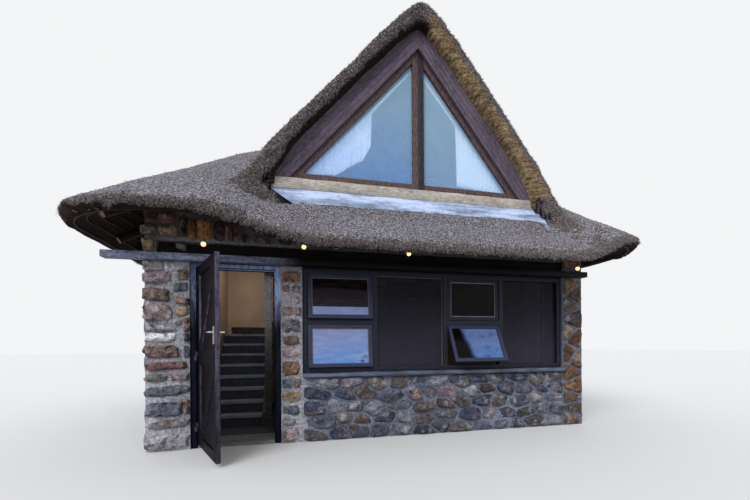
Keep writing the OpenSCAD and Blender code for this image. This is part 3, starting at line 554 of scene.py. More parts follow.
def cloth_finish():
    """Thin white cotton with its weave"""
    f = Finish("white_cotton", 0.9, Sheen_Weight=0.3)
    weave = f.node("ShaderNodeUVMap", {"uv_map": "weave"})
    across = f.axis("X", weave) * 900
    down = f.axis("Y", weave) * 900
    threads = f.node("ShaderNodeMath", {"operation": "SINE"}, {0: across}) \
        * f.node("ShaderNodeMath", {"operation": "SINE"}, {0: down})
    f.put("Base Color", f.ramp(f.speckle(7, 3), (0.3, (0.80, 0.82, 0.84)), (0.7, (0.90, 0.91, 0.92))))
    f.relief(threads, 0.0005, 0.4)
    return f.material


def glow_finish():
    """The warm glow of a small lamp"""
    f = Finish("warm_bulb", 0.3, Emission_Strength=2.2)
    swirl = f.speckle(40, 2)
    f.put("Base Color", f.blend(swirl, srgb(255, 214, 150), srgb(255, 188, 110)))
    f.put("Emission Color", f.blend(swirl, srgb(255, 214, 150), srgb(255, 178, 96)))
    return f.material


FINISHES = {}


def finish(name):
    """The finishes are made once, the first time that a piece asks for one."""
    if not FINISHES:
        FINISHES.update(
            mortar_front=mortar_finish("mortar_front", "front"),
            mortar_side=mortar_finish("mortar_side", "side"),
            mortar_round=mortar_finish("mortar_round", "round"),
            stone=stone_finish(), thatch=thatch_finish(), reed=reed_finish(),
            # Navy, sash and pale bead paints: first colour the outward faces with a painted sheen, second the
            # reveals in painted shade, third the wear.
            navy=paint_finish("navy_paint", srgb(26, 30, 44), srgb(8, 9, 15), srgb(80, 88, 114)),
            jamb=jamb_finish(),
            sash=paint_finish("sash_paint", srgb(50, 56, 82), srgb(14, 16, 26), srgb(104, 116, 152)),
            rail=rail_finish(),
            door=door_finish(),
            log=board_finish("old_log", srgb(6, 5, 6), srgb(40, 33, 33), roughness=0.9),
            lath=board_finish("reed_lath", srgb(16, 10, 8), srgb(48, 32, 24), stretch=3),
            barge=board_finish("barge_planks", srgb(46, 40, 50), srgb(124, 112, 128), 0.062, slope=True),
            red_frame=red_frame_finish(),
            sill_beam=board_finish("pale_beam", srgb(110, 104, 98), srgb(216, 208, 196), stretch=7),
            poles=pole_finish(),
            loft=board_finish("loft_board", srgb(58, 40, 28), srgb(112, 82, 58), 0.0),
            stair=board_finish("stair_paint", srgb(22, 25, 32), srgb(62, 67, 80)),
            tread=board_finish("worn_tread", srgb(78, 78, 84), srgb(148, 144, 144)),
            string=board_finish("stair_string", srgb(30, 28, 28), srgb(80, 74, 70), stretch=3),
            cut_end=board_finish("pale_cut", srgb(150, 124, 88), srgb(206, 180, 138)),
            bead=board_finish("orange_bead", srgb(84, 66, 58), srgb(150, 120, 102)),
            # The dormer pane's blues are a painted reflection of the sky, paler on its right half.
            dormer_glass=glass_finish("dormer_pane", (0.27, 0.52, 1.0), (0.48, 0.74, 1.0), 3.0, 4.4, 0.34,
                                      gloss=0.3, right=(0.52, 0.78, 1.0)),
            # The room pane's tones are painted shade of the dark room behind it, darker higher up.
            dark_glass=glass_finish("room_pane", srgb(56, 53, 70), srgb(22, 21, 32), 0.9, 2.0, 0.55, gloss=0.12),
            sash_glass=sash_pane_finish(),
            pale_bead=paint_finish("pale_bead", srgb(138, 138, 146), srgb(60, 60, 68), srgb(90, 86, 88)),
            silver=metal_finish("worn_silver", (0.62, 0.62, 0.63), 0.3),
            iron=metal_finish("dull_iron", (0.05, 0.05, 0.055), 0.55, 0.6),
            screed=screed_finish(), cement=cement_finish(), apron=apron_finish(), cloth=cloth_finish(),
            glow=glow_finish())
    return FINISHES[name]


# Making pieces

def link(name, data):
    """An object for the data, linked into the scene"""
    made = bpy.data.objects.new(name, data)
    bpy.context.scene.collection.objects.link(made)
    return made


def add_piece(name, mesh, material, body="root", smooth=True, stands_for=()):
    """Puts a finished mesh into the scene and makes it ride on its body."""
    piece = link(name, mesh)
    mesh.materials.clear()
    mesh.materials.append(finish(material))
    mesh.polygons.foreach_set("use_smooth", [smooth] * len(mesh.polygons))
    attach(piece, body)
    if stands_for:
        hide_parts(*stands_for)
    return piece


def dress(node, material):
    """A better material on a CAD node that keeps its own shape."""
    mesh = NODES[node].data
    mesh.materials.clear()
    mesh.materials.append(finish(material))


def clamp(value):
    return min(1, max(0, value))


def to_mesh(name, bm):
    """The bmesh as a mesh; the bmesh is freed"""
    mesh = bpy.data.meshes.new(name)
    bm.to_mesh(mesh)
    bm.free()
    return mesh


def node_shape(*names):
    """The CAD nodes' own shapes as one bmesh, with their loose triangles joined into faces."""
    bm = bmesh.new()
    for name in names:
        bm.from_mesh(NODES[name].data)
    bmesh.ops.remove_doubles(bm, verts=bm.verts, dist=0.00002)
    bmesh.ops.dissolve_limit(bm, angle_limit=math.radians(1), verts=bm.verts, edges=bm.edges)
    return bm


def ease_edges(bm, width, sharp=30, segments=2):
    """Rounds every edge that is sharper than the given angle."""
    edges = [e for e in bm.edges if len(e.link_faces) == 2 and e.calc_face_angle(0) > math.radians(sharp)]
    bmesh.ops.bevel(bm, geom=edges, offset=width, offset_type="OFFSET", segments=segments, profile=0.5,
                    affect="EDGES", clamp_overlap=True, material=-1)


def refine(bm, length):
    """Cuts long edges, so that hewn timber can be uneven."""
    for _ in range(7):
        edges = [e for e in bm.edges if e.calc_length() > length]
        if not edges:
            break
        bmesh.ops.subdivide_edges(bm, edges=edges, cuts=1, use_grid_fill=True)
    bmesh.ops.triangulate(bm, faces=[f for f in bm.faces if len(f.verts) > 4])


def hewn(bm, amount, scale):
    """Moves each vertex a little along its normal, as an uneven surface has."""
    bm.normal_update()
    moves = [(v, v.normal * noise.fractal(v.co * scale, 1.0, 2.0, 3) * amount) for v in bm.verts]
    for v, move in moves:
        v.co += move


def timber(name, node, material, ease=0.004, body="root"):
    """A CAD node's shape with eased edges, which takes the node's place"""
    bm = node_shape(node)
    ease_edges(bm, ease)
    piece = add_piece(name, to_mesh(name, bm), material, body, stands_for=(node,))
    shade_by_angle(piece)
    return piece


def uneven(name, node, material, ease, length, amount, scale, segments=2):
    """A CAD node's shape, hewn or worn uneven, which takes the node's place"""
    bm = node_shape(node)
    ease_edges(bm, ease, segments=segments)
    refine(bm, length)
    hewn(bm, amount, scale)
    return add_piece(name, to_mesh(name, bm), material, stands_for=(node,))


def plank(bm, corners, push):
    """A flat board from the corners of its outer face, as thick as the push away from it"""
    face = bm.faces.new([bm.verts.new(p) for p in corners])
    face.normal_update()
    if face.normal.dot(push) > 0:
        face.normal_flip()
    for part in bmesh.ops.extrude_face_region(bm, geom=[face])["geom"]:
        if isinstance(part, bmesh.types.BMVert):
            part.co += push


def shade_by_angle(piece, angle=35):
    """Flat faces stay flat, and rounded edges are smooth."""
    bm = bmesh.new()
    bm.from_mesh(piece.data)
    for e in bm.edges:
        e.smooth = len(e.link_faces) == 2 and e.calc_face_angle(0) < math.radians(angle)
    bm.to_mesh(piece.data)
    bm.free()


def put_tints(mesh, name, tints):
    """Keeps a colour for each vertex, which a finish reads by the attribute's name"""
    layer = mesh.attributes.new(name, "FLOAT_COLOR", "POINT")
    rows = np.ones((len(mesh.vertices), 4), dtype=np.float32)
    rows[:, :3] = tints
    layer.data.foreach_set("color", rows.ravel())


def copies(name, shape, places, turns, tints, attribute):
    """One mesh that holds a copy of the shape at each place, turned and scaled by its own matrix."""
    verts = np.array([v.co[:] for v in shape.verts])
    faces = [[v.index for v in f.verts] for f in shape.faces]
    shape.free()
    count = len(places)
    points = np.einsum("nij,vj->nvi", turns, verts) + places[:, None, :]
    bases = np.arange(count)[:, None] * len(verts)
    every = []
    for size in sorted({len(f) for f in faces}):
        kind = np.array([f for f in faces if len(f) == size])
        every.extend((bases[:, :, None] + kind[None]).reshape(-1, size).tolist())
    mesh = bpy.data.meshes.new(name)
    mesh.from_pydata(points.reshape(-1, 3), [], every)
    put_tints(mesh, attribute, np.repeat(tints, len(verts), axis=0))
    return mesh


def read(items, key, width, kind=float):
    """One value or vector of each item, as an array with a row for each"""
    values = np.empty(len(items) * width, dtype=kind)
    items.foreach_get(key, values)
    return values.reshape(-1, width)


def unit(rows):
    """Each row as a vector of length 1"""
    return rows / np.maximum(np.linalg.norm(rows, axis=1, keepdims=True), 1e-9)


def frames_along(along, up, lengths, widths, heights):
    """Matrices whose third axis lies along each reed."""
    across = unit(np.cross(up, along))
    over = np.cross(along, across)
    return np.stack([across * widths[:, None], over * heights[:, None], along * lengths[:, None]], axis=2)


# Stonework

TONES = {
    "cream": (190, 184, 182), "white": (206, 205, 214), "pink": (158, 142, 146), "tan": (146, 132, 122),
    "grey": (124, 124, 132), "slate": (100, 105, 120), "pale": (168, 166, 174), "rust": (136, 106, 88),
    "ochre": (156, 136, 106), "red": (132, 98, 96), "brown": (124, 106, 98), "moss": (112, 114, 108),
    "orange": (176, 124, 76), "dark": (62, 50, 50),
}
RUBBLE_MIX = ["grey", "grey", "slate", "slate", "tan", "pale", "brown", "rust", "grey", "slate", "moss",
              "pink", "grey", "brown", "cream", "tan"]
# Dark tones for the stones over the lintel: partly their own colour, partly painted shade under the eave.
UNDER_EAVE_MIX = ["dark", "brown", "rust", "dark", "red", "brown"]
# Stones given one by one, in metres on the front wall: left, right, foot, top, rise of the right end, tone
LEFT_PIER_SLABS = (
    (-2.875, -2.66, 1.995, 2.112, 0.018, "cream"), (-2.655, -2.54, 1.997, 2.112, 0.010, "white"),
    (-2.89, -2.575, 1.866, 1.988, 0.015, "pink"), (-2.527, -2.40, 1.903, 2.035, 0.010, "tan"),
    (-2.875, -2.59, 1.673, 1.820, -0.012, "brown"), (-2.56, -2.41, 1.775, 1.878, 0.010, "slate"),
    (-2.545, -2.40, 1.645, 1.730, -0.022, "rust"), (-2.88, -2.575, 1.447, 1.632, 0.008, "pink"),
    (-2.549, -2.402, 1.506, 1.611, 0.004, "ochre"), (-2.86, -2.52, 1.330, 1.412, 0.0, "pale"),
    (-2.561, -2.475, 1.413, 1.474, 0.0, "pale"), (-2.467, -2.404, 1.428, 1.490, 0.0, "rust"),
    (-2.46, -2.404, 1.328, 1.413, 0.0, "red"), (-2.458, -2.405, 1.215, 1.317, 0.0, "slate"),
    (-2.855, -2.545, 1.212, 1.321, 0.0, "white"), (-2.865, -2.498, 1.036, 1.178, 0.0, "brown"),
    (-2.459, -2.403, 1.036, 1.178, 0.0, "slate"), (-2.86, -2.41, 0.893, 0.982, 0.022, "red"),
    (-2.84, -2.62, 0.775, 0.865, 0.0, "moss"), (-2.611, -2.40, 0.773, 0.870, 0.008, "pink"),
    (-2.865, -2.40, 0.595, 0.712, 0.040, "slate"), (-2.523, -2.40, 0.507, 0.565, 0.008, "brown"),
    (-2.86, -2.465, 0.375, 0.543, 0.010, "slate"), (-2.463, -2.402, 0.400, 0.495, 0.003, "red"),
    (-2.85, -2.405, 0.225, 0.325, 0.045, "grey"), (-2.875, -2.405, 0.020, 0.188, 0.0, "pale"),
)
# The stones between the rail and the eave, left of and over the door
UPPER_LEFT_SLABS = (
    (-2.868, -2.745, 2.215, 2.385, 0.0, "ochre"), (-2.885, -2.715, 2.400, 2.510, 0.008, "tan"),
    (-2.705, -2.515, 2.400, 2.515, 0.012, "ochre"), (-2.842, -2.718, 2.517, 2.592, 0.012, "red"),
    (-2.712, -2.535, 2.530, 2.665, 0.0, "red"), (-2.856, -2.712, 2.600, 2.680, 0.010, "dark"),
    (-2.505, -2.42, 2.40, 2.620, 0.0, "dark"), (-2.406, -2.322, 2.372, 2.600, 0.0, "orange"),
    (-2.312, -2.14, 2.372, 2.620, 0.0, "orange"), (-2.133, -2.024, 2.372, 2.600, 0.0, "dark"),
    (-2.018, -1.93, 2.372, 2.590, 0.0, "red"), (-1.92, -1.85, 2.365, 2.580, 0.0, "rust"),
    (-2.53, -2.42, 2.262, 2.335, -0.030, "grey"),
)
# The narrow pier between the door and the windows
MIDDLE_PIER_SLABS = (
    (-1.390, -1.172, 1.918, 2.060, 0.0, "rust"), (-1.385, -1.290, 1.803, 1.894, 0.0, "red"),
    (-1.276, -1.173, 1.800, 1.890, 0.0, "slate"), (-1.385, -1.174, 1.660, 1.775, 0.0, "pale"),
    (-1.380, -1.245, 1.515, 1.630, 0.0, "tan"), (-1.228, -1.165, 1.530, 1.625, 0.0, "grey"),
    (-1.388, -1.176, 1.318, 1.485, 0.0, "grey"), (-1.375, -1.185, 1.172, 1.285, 0.0, "brown"),
    (-1.388, -1.158, 1.030, 1.140, 0.0, "pink"), (-1.388, -1.175, 0.800, 0.985, 0.0, "rust"),
    (-1.385, -1.270, 0.660, 0.770, 0.0, "slate"), (-1.255, -1.165, 0.650, 0.765, 0.0, "tan"),
    (-1.388, -1.172, 0.480, 0.620, 0.0, "ochre"), (-1.380, -1.180, 0.330, 0.450, 0.0, "slate"),
    (-1.385, -1.230, 0.205, 0.300, 0.0, "grey"), (-1.388, -1.175, 0.015, 0.178, 0.0, "pink"),
)


def clip(polygon, normal, limit):
    """The part of a flat polygon on the near side of a line."""
    kept = []
    for i, point in enumerate(polygon):
        before = polygon[i - 1]
        d0, d1 = before @ normal - limit, point @ normal - limit
        if (d0 < 0) != (d1 < 0):
            kept.append(before + (point - before) * (d0 / (d0 - d1)))
        if d1 < 0:
            kept.append(point)
    return kept


def rubble(width, height, stone_w, stone_h, joint, rng):
    """Outlines of rubble stones that fill a rectangle, with mortar joints between them."""
    rows = max(1, round(height / stone_h))
    columns = max(1, round(width / stone_w))
    squeeze = stone_h / stone_w
    seeds = []
    for r in range(rows):
        shift = 0.5 * (r % 2) - 0.25 + rng.uniform(-0.15, 0.15)
        for c in range(columns + 1):
            seeds.append(((c + 0.5 + shift + rng.uniform(-0.34, 0.34)) * width / columns,
                          (r + 0.5 + rng.uniform(-0.32, 0.32)) * height / rows))
    seeds = np.array(seeds)
    seeds = seeds[(seeds[:, 0] > 0) & (seeds[:, 0] < width)]
    weights = np.array([squeeze, 1.0])
    outlines = []
    for seed in seeds:
        cell = [np.array(p) for p in ((joint / 2, joint / 2), (width - joint / 2, joint / 2),
                                      (width - joint / 2, height - joint / 2), (joint / 2, height - joint / 2))]
        gaps = (seeds - seed) * weights
        reach = np.linalg.norm(gaps, axis=1)
        for j in np.argsort(reach)[1:22]:
            if reach[j] > 4 * stone_h:
                break
            normal = gaps[j] * weights
            middle = (seeds[j] + seed) / 2
            size = np.linalg.norm(normal)
            normal = normal / size
            cell = clip(cell, normal, middle @ normal - joint / 2)
            if len(cell) < 3:
                break
        if len(cell) >= 3:
            cell = np.array(cell)
            turned = np.roll(cell, -1, axis=0)
            area = abs(np.sum(cell[:, 0] * turned[:, 1] - turned[:, 0] * cell[:, 1])) / 2
            if area > 0.12 * stone_w * stone_h:
                outlines.append(cell)
    return outlines


def slab(x0, x1, foot, top, rise, rng):
    """The outline of one listed stone: a rough block whose right end lies higher by rise"""
    corners = [np.array(p) for p in ((x0, foot), (x1, foot + rise), (x1, top + rise), (x0, top))]
    middle = sum(corners) / 4
    points = []
    for k, corner in enumerate(corners):
        ahead = corners[(k + 1) % 4]
        for share in (0.15, 0.5, 0.85):
            p = corner + (ahead - corner) * (share + rng.uniform(-0.05, 0.05))
            points.append(p + (p - middle) * rng.uniform(-0.13, 0.03))
    return np.array(points)


def knock_corners(outline):
    """Drops corners that lie close together and cuts the others off."""
    kept = [p for i, p in enumerate(outline) if np.linalg.norm(p - outline[i - 1]) > 0.022]
    if len(kept) < 4:
        kept = list(outline)
    cut = []
    for i, p in enumerate(kept):
        before, after = kept[i - 1], kept[(i + 1) % len(kept)]
        cut += [p + (before - p) * 0.15, p + (after - p) * 0.15]
    return np.array(cut)


def groups(bm):
    """A number for each vertex that tells which stone it belongs to"""
    bm.verts.index_update()
    group = np.full(len(bm.verts), -1)
    count = 0
    for v in bm.verts:
        if group[v.index] < 0:
            heap = [v]
            group[v.index] = count
            while heap:
                for e in heap.pop().link_edges:
                    for w in e.verts:
                        if group[w.index] < 0:
                            group[w.index] = count
                            heap.append(w)
            count += 1
    return group, count


def mortar_bed(name, width, height, to_world, material, size=0.03, depth=0.014):
    """Uneven mortar between the stones: a skin on the wall that dips into it at its edges"""
    columns, rows = max(3, round(width / size)), max(3, round(height / size))
    across, upwards = np.linspace(0.002, width - 0.002, columns), np.linspace(0.004, height - 0.002, rows)
    bm = bmesh.new()
    bmesh.ops.create_grid(bm, x_segments=columns - 1, y_segments=rows - 1, size=1)
    for i, vert in enumerate(bm.verts):
        u, v = across[i % columns], upwards[i // columns]
        lump = 0.55 + noise.fractal(Vector((u * 8, v * 8, 0.5)), 1.0, 2.0, 3) * 0.9
        near_edge = min(1.0, min(u, width - u, v, height - v) / 0.03)
        vert.co = to_world(u, v, near_edge * max(0.1, lump) * depth - 0.003)
    return add_piece(name, to_mesh(name, bm), material)


def stones(name, outlines, to_world, tones, rng, low=0.010, high=0.032, in_order=False, mesh_size=0.045,
           shade=1.0):
    """Rough, broken stones from flat outlines, laid on a wall by to_world(u, v, out)."""
    bm = bmesh.new()
    for outline in outlines:
        corners = outline if in_order else knock_corners(outline)
        bm.faces.new([bm.verts.new((p[0], p[1], 0)) for p in corners])
    bm.normal_update()
    bmesh.ops.reverse_faces(bm, faces=[f for f in bm.faces if f.normal.z < 0])
    tops = bmesh.ops.extrude_discrete_faces(bm, faces=bm.faces[:])["faces"]
    for f in tops:
        for v in f.verts:
            v.co.z += 0.55
    bmesh.ops.inset_individual(bm, faces=tops, thickness=0.007, depth=0.30, use_even_offset=False)
    bmesh.ops.inset_individual(bm, faces=tops, thickness=0.018, depth=0.15, use_even_offset=False)
    bmesh.ops.poke(bm, faces=tops)
    for _ in range(3):
        long = [e for e in bm.edges if e.verts[0].co.z > 0.8 and e.verts[1].co.z > 0.8
                and e.calc_length() > mesh_size * 1.3]
        if long:
            bmesh.ops.subdivide_edges(bm, edges=long, cuts=1)
            bmesh.ops.triangulate(bm, faces=[f for f in bm.faces if len(f.verts) > 4])
    group, count = groups(bm)
    flat = np.array([v.co[:] for v in bm.verts])
    centres = np.array([np.bincount(group, flat[:, k]) / np.bincount(group) for k in (0, 1)]).T
    rise = rng.uniform(low, high, count)[group]
    lean = rng.normal(0, 0.10, (count, 2))[group]
    away = flat[:, :2] - centres[group]
    reach = np.zeros((count, 2))
    np.maximum.at(reach, group, np.abs(away))
    near_middle = np.clip(1 - np.sum((away / (reach[group] + 0.01)) ** 2, axis=1), 0, 1)
    share = flat[:, 2]
    crown = rng.uniform(0.15, 0.75, count)[group]
    out = share * (rise * (0.75 + crown * near_middle) + 0.010) - 0.010 + share * np.sum(lean * away, axis=1) * 0.6
    shift = np.empty((len(flat), 3))
    for i, (p, g) in enumerate(zip(flat, group)):
        at = Vector((p[0] * 11, p[1] * 11, g * 3.7))
        near = noise.voronoi(at)[1][0]
        tilt = noise.noise_vector(near * 31.7)
        facet = (at - near).dot(tilt) * rise[i] * 1.7
        wave = noise.noise_vector(Vector((p[0] * 12, p[1] * 12, g * 2.3 + p[2])))
        shift[i] = (wave.x * 0.011, wave.y * 0.009, facet + wave.z * 0.22 * rise[i])
    flat[:, :2] += shift[:, :2]
    out = np.maximum(out + shift[:, 2] * share, -0.010)
    for v, (u, w), o in zip(bm.verts, flat[:, :2], out):
        v.co = to_world(u, w, o)
        v.co.z = max(v.co.z, 0.002)
    bmesh.ops.recalc_face_normals(bm, faces=bm.faces)
    mesh = to_mesh(name, bm)
    if in_order:
        own = np.array([outline.mean(axis=0) for outline in outlines])
        order = [int(np.argmin(np.linalg.norm(own - c, axis=1))) for c in centres]
        picked = np.array([srgb(*TONES[tones[k]]) for k in order])
    else:
        picked = np.array([srgb(*TONES[tones[k]]) for k in rng.integers(0, len(tones), count)])
    # shade darkens and tints all of one wall's stones together: painted shade where the wall lies in shadow.
    picked = picked * rng.uniform(0.72, 1.15, (count, 1)) * np.array(shade)
    put_tints(mesh, "stone_tint", picked[group])
    piece = add_piece(name, mesh, "stone")
    shade_by_angle(piece, 32)
    return piece


def front_face(offset_u, offset_v):
    """Places on the front wall, from a corner at the given x and z"""
    return lambda u, v, out: (u + offset_u, FRONT_Y - out, v + offset_v)


def lay_slabs(name, rows, rng, low, high):
    """Stones given one by one on the front wall: left, right, foot, top, rise of the right end, and tone"""
    stones(name, [slab(*row[:5], rng) for row in rows], front_face(0, 0), [row[5] for row in rows], rng,
           low, high, in_order=True, mesh_size=0.03)


# Sizes and colours that a user may change

class CottageStone(bpy.types.PropertyGroup):
    """How the rubble stones are laid"""
    stone_width: bpy.props.FloatProperty(
        name="Stone width", description="Mean width of a rubble stone", default=0.29, min=0.08, max=0.5,
        unit="LENGTH")
    stone_height: bpy.props.FloatProperty(
        name="Stone height", description="Mean height of a rubble stone", default=0.165, min=0.06, max=0.4,
        unit="LENGTH")
    joint: bpy.props.FloatProperty(
        name="Joint", description="Width of the mortar joints", default=0.030, min=0.004, max=0.05, unit="LENGTH")
    seed: bpy.props.IntProperty(name="Seed", description="Changes how the stones lie", default=7, min=0)


class CottageThatch(bpy.types.PropertyGroup):
    """How fine the thatch is, and its reeds' number and colours"""
    voxel: bpy.props.FloatProperty(
        name="Thatch grid", description="Size of the thatch mesh's faces", default=0.048, min=0.03, max=0.1,
        unit="LENGTH")
    roof_reeds: bpy.props.IntProperty(
        name="Roof reeds", description="Number of loose reed ends on the roof", default=38000, min=0, max=48000)
    edge_reeds: bpy.props.IntProperty(
        name="Eave reeds", description="Number of cut reeds round the eave and the verge", default=32000, min=0,
        max=48000)
    light: bpy.props.FloatVectorProperty(
        name="Light reed", description="Colour of the palest reeds", subtype="COLOR", default=srgb(192, 188, 193))
    dark: bpy.props.FloatVectorProperty(
        name="Dark reed", description="Colour of the darkest reeds", subtype="COLOR", default=srgb(46, 41, 44))


class CottageStage(bpy.types.PropertyGroup):
    """Floor, lamps and lens"""
    lens: bpy.props.FloatProperty(
        name="Lens", description="Focal length of the camera", default=17.31, min=8, max=100, unit="CAMERA")
    floor: bpy.props.FloatVectorProperty(
        name="Floor", description="Colour of the floor", subtype="COLOR", default=(0.72, 0.72, 0.72))
    sky: bpy.props.FloatProperty(
        name="Sky light", description="Strength of the light from all round", default=0.85, min=0, max=3)
    lamp: bpy.props.FloatProperty(
        name="Lamp", description="Strength of the soft lamp", default=1.9, min=0, max=10)
    room: bpy.props.FloatProperty(
        name="Room lamp", description="Strength of the light over the stair", default=6.0, min=0, max=200,
        unit="POWER")
    loft_light: bpy.props.FloatProperty(
        name="Loft light", description="Strength of the daylight on the curtains", default=4.6, min=0, max=200,
        unit="POWER")
    door_light: bpy.props.FloatProperty(
        name="Door light", description="Strength of the daylight that falls in at the door", default=5.0, min=0,
        max=200, unit="POWER")


# Operators

class COTTAGE_OT_walls(bpy.types.Operator):
    """Give the walls mortar outside and plaster inside, and lay the rubble stones on them"""
    bl_idname = "cottage.walls"
    bl_label = "Stone Walls"

    def execute(self, context):
        s = context.scene.cottage_stone
        rng = np.random.default_rng(s.seed)
        # 0 would stand for the time of day
        noise.seed_set(s.seed + 1)
        for name in NODES:
            if name.startswith("round_wall"):
                dress(name, "mortar_round")
            elif name in ("left_wall", "right_wall"):
                dress(name, "mortar_side")
            elif name.endswith("_pier") or name in ("sill_wall", "upper_front_wall"):
                dress(name, "mortar_front")
        self.left_pier(rng)
        self.front(rng, s)
        self.round_the_back(rng, s)
        return {"FINISHED"}

    def left_pier(self, rng):
        """The big flat slabs beside the door and over it, as they lie in the wall"""
        lay_slabs("left_pier_slabs", LEFT_PIER_SLABS, rng, 0.022, 0.048)
        lo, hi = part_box("left_pier")
        mortar_bed("left_pier_mortar", hi.x - lo.x, RAIL_FOOT_Z - 0.005, front_face(lo.x, 0), "mortar_front")
        lay_slabs("upper_left_slabs", UPPER_LEFT_SLABS, rng, 0.030, 0.062)
        mortar_bed("upper_left_mortar", SLABS_END_X + 0.02 - lo.x, 0.24, front_face(lo.x, LINTEL_TOP_Z + 0.005),
                   "mortar_front")

    def front(self, rng, s):
        """The middle pier's slabs, and rubble on the right pier, under the windows and over the lintel"""
        lay_slabs("middle_pier_slabs", MIDDLE_PIER_SLABS, rng, 0.016, 0.034)
        lo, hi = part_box("middle_pier")
        mortar_bed("middle_pier_mortar", hi.x - lo.x, hi.z - lo.z, front_face(lo.x, lo.z), "mortar_front")
        # The right pier's and the sill wall's stones are darkened as painted shade, and tinted: browner on the
        # pier, bluer under the windows.
        for piece, node, shade in (("right_pier_stones", "right_pier", (0.47, 0.33, 0.23)),
                                   ("sill_wall_stones", "sill_wall", (0.38, 0.42, 0.51))):
            lo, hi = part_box(node)
            width, height = hi.x - lo.x, min(hi.z, RIGHT_PIER_SEEN_Z) - lo.z
            outlines = rubble(width, height, s.stone_width, s.stone_height, s.joint, rng)
            stones(piece, outlines, front_face(lo.x, lo.z), RUBBLE_MIX, rng, 0.014, 0.038, shade=shade)
            mortar_bed(node + "_mortar", width, height, front_face(lo.x, lo.z), "mortar_front")
        right_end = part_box("upper_front_wall")[1].x
        outlines = rubble(right_end - SLABS_END_X, 0.22, 0.2, 0.11, s.joint, rng)
        # shade=0.6 darkens these stones further: painted shade under the eave.
        stones("over_lintel_stones", outlines, front_face(SLABS_END_X, LINTEL_TOP_Z + 0.005), UNDER_EAVE_MIX, rng,
               0.01, 0.03, shade=0.6)

    def round_the_back(self, rng, s):
        """One strip of stones runs along the right side, round the back and along the left side"""
        straight = -FRONT_Y
        arc = math.pi * HALF_W
        length = 2 * straight + arc

        def to_world(u, v, out):
            if u < straight:
                return (HALF_W + out, FRONT_Y + u, v)
            if u > straight + arc:
                return (-HALF_W - out, straight + arc - u, v)
            a = (u - straight) / HALF_W
            return ((HALF_W + out) * math.cos(a), (HALF_W + out) * math.sin(a), v)

        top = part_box("right_wall")[1].z
        whole = rubble(length, top, s.stone_width * 1.05, s.stone_height * 1.05, s.joint, rng)
        parts = {"right_side_stones": [], "back_stones_right": [], "back_stones_left": [], "left_side_stones": []}
        for outline in whole:
            u = outline[:, 0].mean()
            nearest = min(outline[:, 0].min(), length - outline[:, 0].max())
            if nearest < WALL_T + 0.02 and outline[:, 1].max() > SIDE_TOP_Z - 0.02:
                continue
            key = ("right_side_stones" if u < straight else "back_stones_right" if u < straight + arc / 2
                   else "back_stones_left" if u < straight + arc else "left_side_stones")
            parts[key].append(outline)
        for name, outlines in parts.items():
            stones(name, outlines, to_world, RUBBLE_MIX, rng, mesh_size=0.08, shade=0.95)
        mortar_bed("round_mortar", length, SIDE_TOP_Z - 0.16, to_world, "mortar_round", size=0.07, depth=0.012)


def reed_fields(points, normals):
    """Which way the reeds run, whether a point is on the dormer, under the thatch or on a cut face."""
    x, y, z = points.T
    pitch = np.where(x < DORMER_X, LEFT_PITCH, RIGHT_PITCH)
    side = np.where(x < DORMER_X, -1.0, 1.0)
    edge = PEAK_Z + 0.33 - np.abs(x - DORMER_X) * np.tan(pitch)
    radial = np.hypot(x, y)
    main_top = APEX_Z - radial * 0.84
    on_dormer = (z > main_top + 0.10) & (y < -0.2) & (z > edge - 0.75)
    down = unit(np.stack([x, y, np.zeros_like(x)], axis=1))
    down[:, 2] = -0.82
    down = unit(down)
    rake = np.stack([side * np.cos(pitch), np.zeros_like(x), -np.sin(pitch)], axis=1)
    run = np.where(on_dormer[:, None], rake, down)
    verge = on_dormer & (normals[:, 1] < -0.75)
    low_edge = ~on_dormer & (normals[:, 2] < 0.35) & (normals[:, 2] > -0.64) & (z < 2.62)
    under = ~verge & ~low_edge & (normals[:, 2] < 0.0)
    return run, on_dormer, verge, low_edge, under


def golden_side(points):
    """Where the right verge still has the colour of fresh straw: its lower side and the inner part of its face"""
    out = (points[:, 0] - DORMER_X) * np.sin(RIGHT_PITCH) + (points[:, 2] - PEAK_Z) * np.cos(RIGHT_PITCH)
    return (points[:, 0] > DORMER_X + 0.1) & (points[:, 1] < FRONT_Y + 0.05) & (abs(out - 0.02) < 0.14) \
        & (points[:, 2] > SILL_Z)


def apron_slope(y):
    """Height of the apron's upper side at a distance in front of the wall"""
    lo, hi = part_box("dormer_apron")
    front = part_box("dormer_sill")[0].y
    return hi.z - (hi.z - lo.z - 0.015) / (front - lo.y) * np.maximum(0, front - y)


def apron_top(points):
    """Height of the apron's upper side over each point that is to stay bare, and a large number elsewhere"""
    lo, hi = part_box("dormer_apron")
    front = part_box("dormer_sill")[0].y
    x, y = points[:, 0], points[:, 1]
    inside = (x > lo.x - 0.02) & (x < hi.x + 0.02) & (y > APRON_FOOT_Y) & (y < front + 0.1)
    return np.where(inside, apron_slope(y), 99.0)


def over_gable(p):
    """Which side of the dormer a point is on, and how far it lies out over the planks' upper edge"""
    side, pitch = (-1, LEFT_PITCH) if p[0] < DORMER_X else (1, RIGHT_PITCH)
    return side, side * (p[0] - DORMER_X) * math.sin(pitch) + (p[2] - PEAK_Z) * math.cos(pitch)


